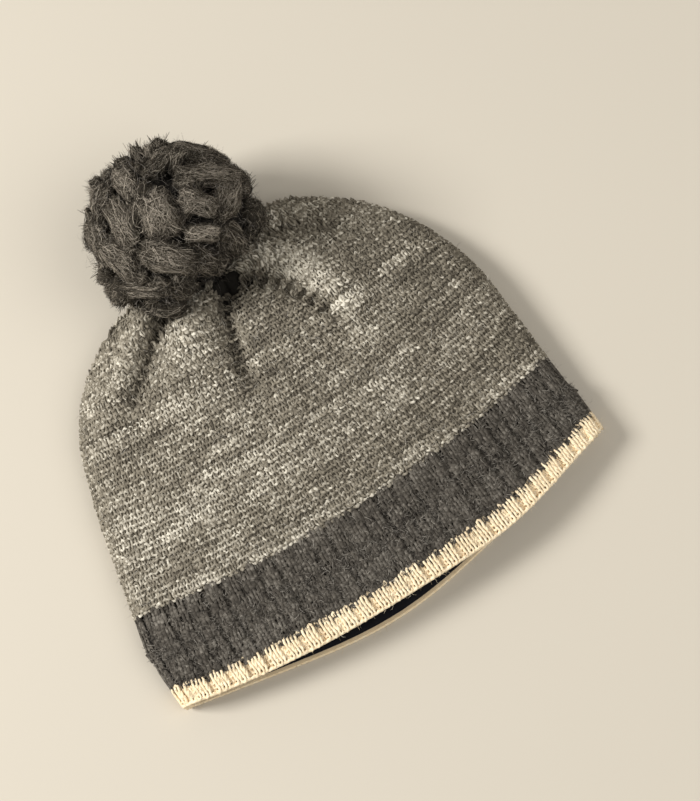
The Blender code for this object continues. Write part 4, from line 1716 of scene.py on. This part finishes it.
    def strands(self, name: str, clumps: list[Clump], density: float, rng: np.random.Generator) -> Skein:
        """The fibres over some clumps, as ribbons.

        Args:
            name: The piece's name.
            clumps: The clumps.
            density: Fibres for each square metre of a clump's oval.
            rng: The source of unevenness.

        Returns:
            The ribbons.
        """
        skein = Skein(name, self.fibre_points - 1)
        number = 0.0
        for clump in clumps:
            count = int(density * math.pi * clump.sizes[0] * clump.sizes[1])
            lines, outs, crest = self.fibres(clump, count, rng)
            if clump.kind is LockKind.FINGER:
                ends, end_outs = self.fringe(clump, rng)
                lines, outs, count = np.vstack([lines, ends]), np.vstack([outs, end_outs]), count + len(ends)
            lines[..., 2] = np.maximum(lines[..., 2], self.lowest_fibre)
            width = self.fibre_width * rng.uniform(0.6, 1.4, (count, 1)) * np.array(self.fibre_taper)
            rings = ribbons(lines, unit(outs + rng.normal(0, self.fibre_scatter, (count, 1, 3))), width)
            run = np.linspace(0, self.fibre_run, self.fibre_points) + rng.uniform(0, 1, (count, 1))
            tone = clump.tone + rng.normal(0, 1.0, (count, 1)) + np.zeros((1, self.fibre_points))
            # Painted light on the clumps' crests and painted shade on their sides.
            tone[: len(crest)] += self.crest_painted_shading * (crest[:, None] - 0.5)
            skein.add(rings, run, number + np.arange(count), tone, False)
            number += count
        return skein

    def head(self) -> bpy.types.Object:
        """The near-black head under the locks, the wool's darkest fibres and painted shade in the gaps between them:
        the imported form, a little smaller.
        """
        data = self.node.data.copy()
        data.name = "pompom_head"
        points = np.zeros(len(data.vertices) * 3)
        data.vertices.foreach_get("co", points)
        away = (points.reshape(-1, 3) - self.middle) * self.head_share
        flat_way = np.array(self.flat_way)
        over = np.maximum(away @ flat_way - (self.flat_reach - self.head_inset), 0)
        points = self.middle + away - over[:, None] * flat_way
        points[:, 2] = np.maximum(points[:, 2], 0.0)
        data.vertices.foreach_set("co", points.ravel())
        data.materials.clear()
        data.materials.append(self.ground.material())
        made = bpy.data.objects.new("pompom_head", data)
        bpy.context.scene.collection.objects.link(made)
        return made

    def dress(self) -> None:
        """Builds the pompom and sets it in place."""
        rng = np.random.default_rng(self.seed)
        placed = self.placed_clumps(rng)
        others = self.other_clumps(placed, rng)
        wool = self.wool.material()
        dress(self.head(), "pompom_wool", "pompom")
        tufts = self.tufts(rng)
        bodies = self.bodies([*placed, *others, *tufts])
        bodies.data.materials.append(self.tuft.material())
        dress(bodies, "pompom_wool", "pompom")
        top = self.strands("pompom_locks_top", placed, self.placed_fibres, rng)
        sides = self.strands("pompom_locks_sides", others, self.other_fibres, rng)
        ends = self.strands("pompom_cut_tufts", tufts, self.tuft_fibres, rng)
        for skein in (top, sides, ends):
            dress(skein.mesh(wool, 3.0), "pompom_wool", "pompom")


# Loose fibres all over the wool.


@dataclass
class Halo:
    """Loose fibres that stand off the wool."""

    cloth: HatCloth
    pompom: PomPom
    crown_count: int = 5200
    band_count: int = 14500
    edge_count: int = 1800
    pompom_count: int = 3500
    width: float = 0.00011
    steps: int = 4
    settle: float = 0.12
    lowest: float = 0.0001
    course_count: int = 240
    upper_share: float = 0.72
    marl: YarnFinish = YarnFinish(
        "marl fibres", (0.10, 0.085, 0.065), (0.38, 0.34, 0.27), (0.75, 0.70, 0.60), 0.1, 0.1, 0.0, 0.3
    )
    charcoal: YarnFinish = YarnFinish(
        "charcoal fibres", (0.016, 0.0135, 0.011), (0.10, 0.088, 0.072), (0.33, 0.30, 0.255), 0.1, 0.1, 0.0, 0.36
    )
    cream: YarnFinish = YarnFinish(
        "cream fibres", (0.55, 0.42, 0.26), (0.78, 0.66, 0.46), (0.92, 0.84, 0.68), 0.1, 0.1, 0.0, 0.3
    )
    dark: YarnFinish = YarnFinish(
        "pompom fibres", (0.025, 0.021, 0.017), (0.115, 0.10, 0.08), (0.42, 0.38, 0.33), 0.1, 0.1, 0.0, 0.35
    )
    seed: int = 53

    def fibres(
        self, name: str, roots: Array, normals: Array, length: tuple[float, float], stand: float,
        material: bpy.types.Material, slot: str, rng: np.random.Generator, curl: float = 0.55, thick: float = 1.0,
    ) -> None:
        """Builds fibres from their roots.

        Args:
            name: The piece's name.
            roots: Where the fibres start.
            normals: The surface's outward directions there.
            length: The shortest and the longest fibre.
            stand: How steeply they leave the surface, as a slope.
            material: Their finish.
            slot: A material slot's name, which dress() logs.
            rng: The source of unevenness.
            curl: How much they bend.
            thick: Their width as a share of the usual.
        """
        count, steps = len(roots), self.steps
        heading = rng.normal(size=(count, 3))
        heading = unit(heading - normals * (heading * normals).sum(axis=1, keepdims=True))
        heading = unit(heading + normals * np.abs(rng.normal(stand, stand / 2, (count, 1))))
        pace = rng.uniform(length[0], length[1], (count, 1)) / (steps - 1)
        bend = rng.normal(0, curl, (count, 3))
        places = [roots]
        for _ in range(steps - 1):
            heading = unit(heading + bend * 0.6 + rng.normal(0, curl * 0.5, (count, 3)) - self.settle * normals)
            places.append(places[-1] + heading * pace)
        lines = np.stack(places, axis=1)
        low = np.array(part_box("crown")[0])[2]
        lines[..., 2] = np.maximum(lines[..., 2], low + self.lowest)
        faced = unit(normals + rng.normal(0, 0.5, (count, 3)))[:, None, :]
        rings = ribbons(lines, faced, self.width * thick * np.ones((count, 1)) * np.array([1, 1, 0.8, 0.3]))
        skein = Skein(name, steps - 1)
        run = np.linspace(0, 0.01, steps)[None, :] + rng.uniform(0, 1, (count, 1))
        tone = rng.normal(0, 1, (count, 1)) + np.zeros((1, steps))
        skein.add(rings, run, np.arange(count, dtype=float), tone, False)
        dress(skein.mesh(material, 3.0), slot)

    def on_panels(self, count: int, low: float, high: float, rng: np.random.Generator) -> tuple[Array, Array]:
        """Random places on the hat's outer face between two courses, more of them on the upper side."""
        fine = np.linspace(low, high, 200)
        share_so_far = np.cumsum(self.cloth.form.sizes(fine)["width"][:, 0])
        courses = np.interp(np.sort(rng.uniform(0, share_so_far[-1], self.course_count)), share_so_far, fine)
        each = -(-count // len(courses))
        side = np.where(rng.uniform(size=(len(courses), each)) < self.upper_share, 1, -1)
        turns = side * np.arccos(rng.uniform(-1, 1, (len(courses), each)))
        points, normals = self.cloth.points_and_normals(courses, turns)
        return points.reshape(-1, 3)[:count], normals.reshape(-1, 3)[:count]

    def dress(self) -> None:
        """Builds all loose fibres."""
        rng = np.random.default_rng(self.seed)
        edge = self.cloth.form.seam_course(self.cloth.form.edge_height)
        crown = self.on_panels(self.crown_count, 0.0, 0.97, rng)
        band = self.on_panels(self.band_count, edge, 0.0, rng)
        rim = self.on_panels(self.edge_count, -1.0, edge, rng)
        marl, charcoal, cream = (finish.material() for finish in (self.marl, self.charcoal, self.cream))
        self.fibres("crown_fibres", *crown, (0.003, 0.0075), 0.35, marl, "marl_knit", rng)
        self.fibres("band_fibres", *band, (0.0022, 0.0050), 0.10, charcoal, "charcoal_rib", rng, 0.9, 2.0)
        self.fibres("edge_fibres", *rim, (0.002, 0.004), 0.30, cream, "cream_rib", rng)
        outward = unit(rng.normal(size=(self.pompom_count, 3)) + np.array((0, 0, 0.35)))
        roots = np.array([self.pompom.surface(way) for way in outward])
        roots = roots + outward * rng.uniform(-0.0005, 0.0025, (len(roots), 1))
        dark = self.dark.material()
        self.fibres("pompom_fibres", roots, outward, (0.003, 0.007), 0.35, dark, "pompom_wool", rng, 1.1)


# Floor, light and camera.


@dataclass
class Studio:
    """Floor, light and camera."""

    azimuth: float = -33.0
    elevation: float = 76.0
    distance: float = 0.90
    target: tuple[float, float, float] = (0.0249, -0.0252, 0.010)
    metres_per_pixel: float = 0.0004743
    image_height: int = 801
    sensor: float = 36.0
    floor_size: float = 6.0
    floor_colour: tuple[float, float, float] = (0.60, 0.545, 0.45)
    key_power: float = 44.0
    key_size: float = 0.62
    key_place: tuple[float, float, float] = (-1.35, 0.72, 1.22)
    fill_power: float = 9.0
    fill_place: tuple[float, float, float] = (0.6, -0.6, 1.3)
    fill_size: float = 1.2
    sky: float = 0.33

    def lay_floor(self) -> None:
        """Lays a plain pale floor under the hat."""
        half = self.floor_size / 2
        corners = np.array([(-half, -half, 0), (half, -half, 0), (half, half, 0), (-half, half, 0)])
        floor = quad_object("studio_floor", corners, np.array([[0, 1, 2, 3]]))
        recipe = Recipe("studio floor")
        recipe.shader.inputs["Base Color"].default_value = (*self.floor_colour, 1)
        recipe.shader.inputs["Roughness"].default_value = 0.9
        floor.data.materials.append(recipe.material)

    def add_light(self, name: str, place: tuple[float, float, float], power: float, size: float) -> None:
        """Adds a square lamp that faces the hat."""
        data = bpy.data.lights.new(name, "AREA")
        data.energy, data.size = power, size
        lamp = bpy.data.objects.new(name, data)
        lamp.location = place
        lamp.rotation_mode = "QUATERNION"
        lamp.rotation_quaternion = (Vector((0, 0, 0)) - Vector(place)).to_track_quat("-Z", "Y")
        bpy.context.scene.collection.objects.link(lamp)

    def add_camera(self) -> None:
        """Adds the camera at the photograph's angle."""
        azimuth, elevation = math.radians(self.azimuth), math.radians(self.elevation)
        back = Vector((
            math.sin(azimuth) * math.cos(elevation), -math.cos(azimuth) * math.cos(elevation), math.sin(elevation)
        ))
        data = bpy.data.cameras.new("camera")
        data.sensor_width = self.sensor
        data.lens = self.sensor * self.distance / (self.image_height * self.metres_per_pixel)
        camera = bpy.data.objects.new("camera", data)
        camera.location = Vector(self.target) + back * self.distance
        camera.rotation_mode = "QUATERNION"
        camera.rotation_quaternion = (-back).to_track_quat("-Z", "Y")
        bpy.context.scene.collection.objects.link(camera)
        bpy.context.scene.camera = camera

    def build(self) -> None:
        """Builds the studio."""
        self.lay_floor()
        self.add_light("key_light", self.key_place, self.key_power, self.key_size)
        self.add_light("fill_light", self.fill_place, self.fill_power, self.fill_size)
        world = bpy.data.worlds.new("studio sky")
        world.use_nodes = True
        sky = world.node_tree.nodes["Background"]
        sky.inputs["Color"].default_value = (1.0, 0.97, 0.93, 1)
        sky.inputs["Strength"].default_value = self.sky
        bpy.context.scene.world = world
        bpy.context.scene.view_settings.view_transform = "Standard"
        self.add_camera()


def main() -> None:
    """Builds every sub-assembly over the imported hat."""
    logging.basicConfig(level=logging.INFO, format="%(name)s: %(message)s")
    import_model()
    cloth = HatCloth()
    LOG.info("origin of the hat's own loops: %s", np.round(cloth.origin, 5))
    pompom = PomPom(cloth)
    Crown(cloth).dress()
    Ribbing(cloth).dress()
    Lining(cloth).dress()
    pompom.dress()
    Halo(cloth, pompom).dress()
    Studio().build()


if __name__ == "__main__":
    main()
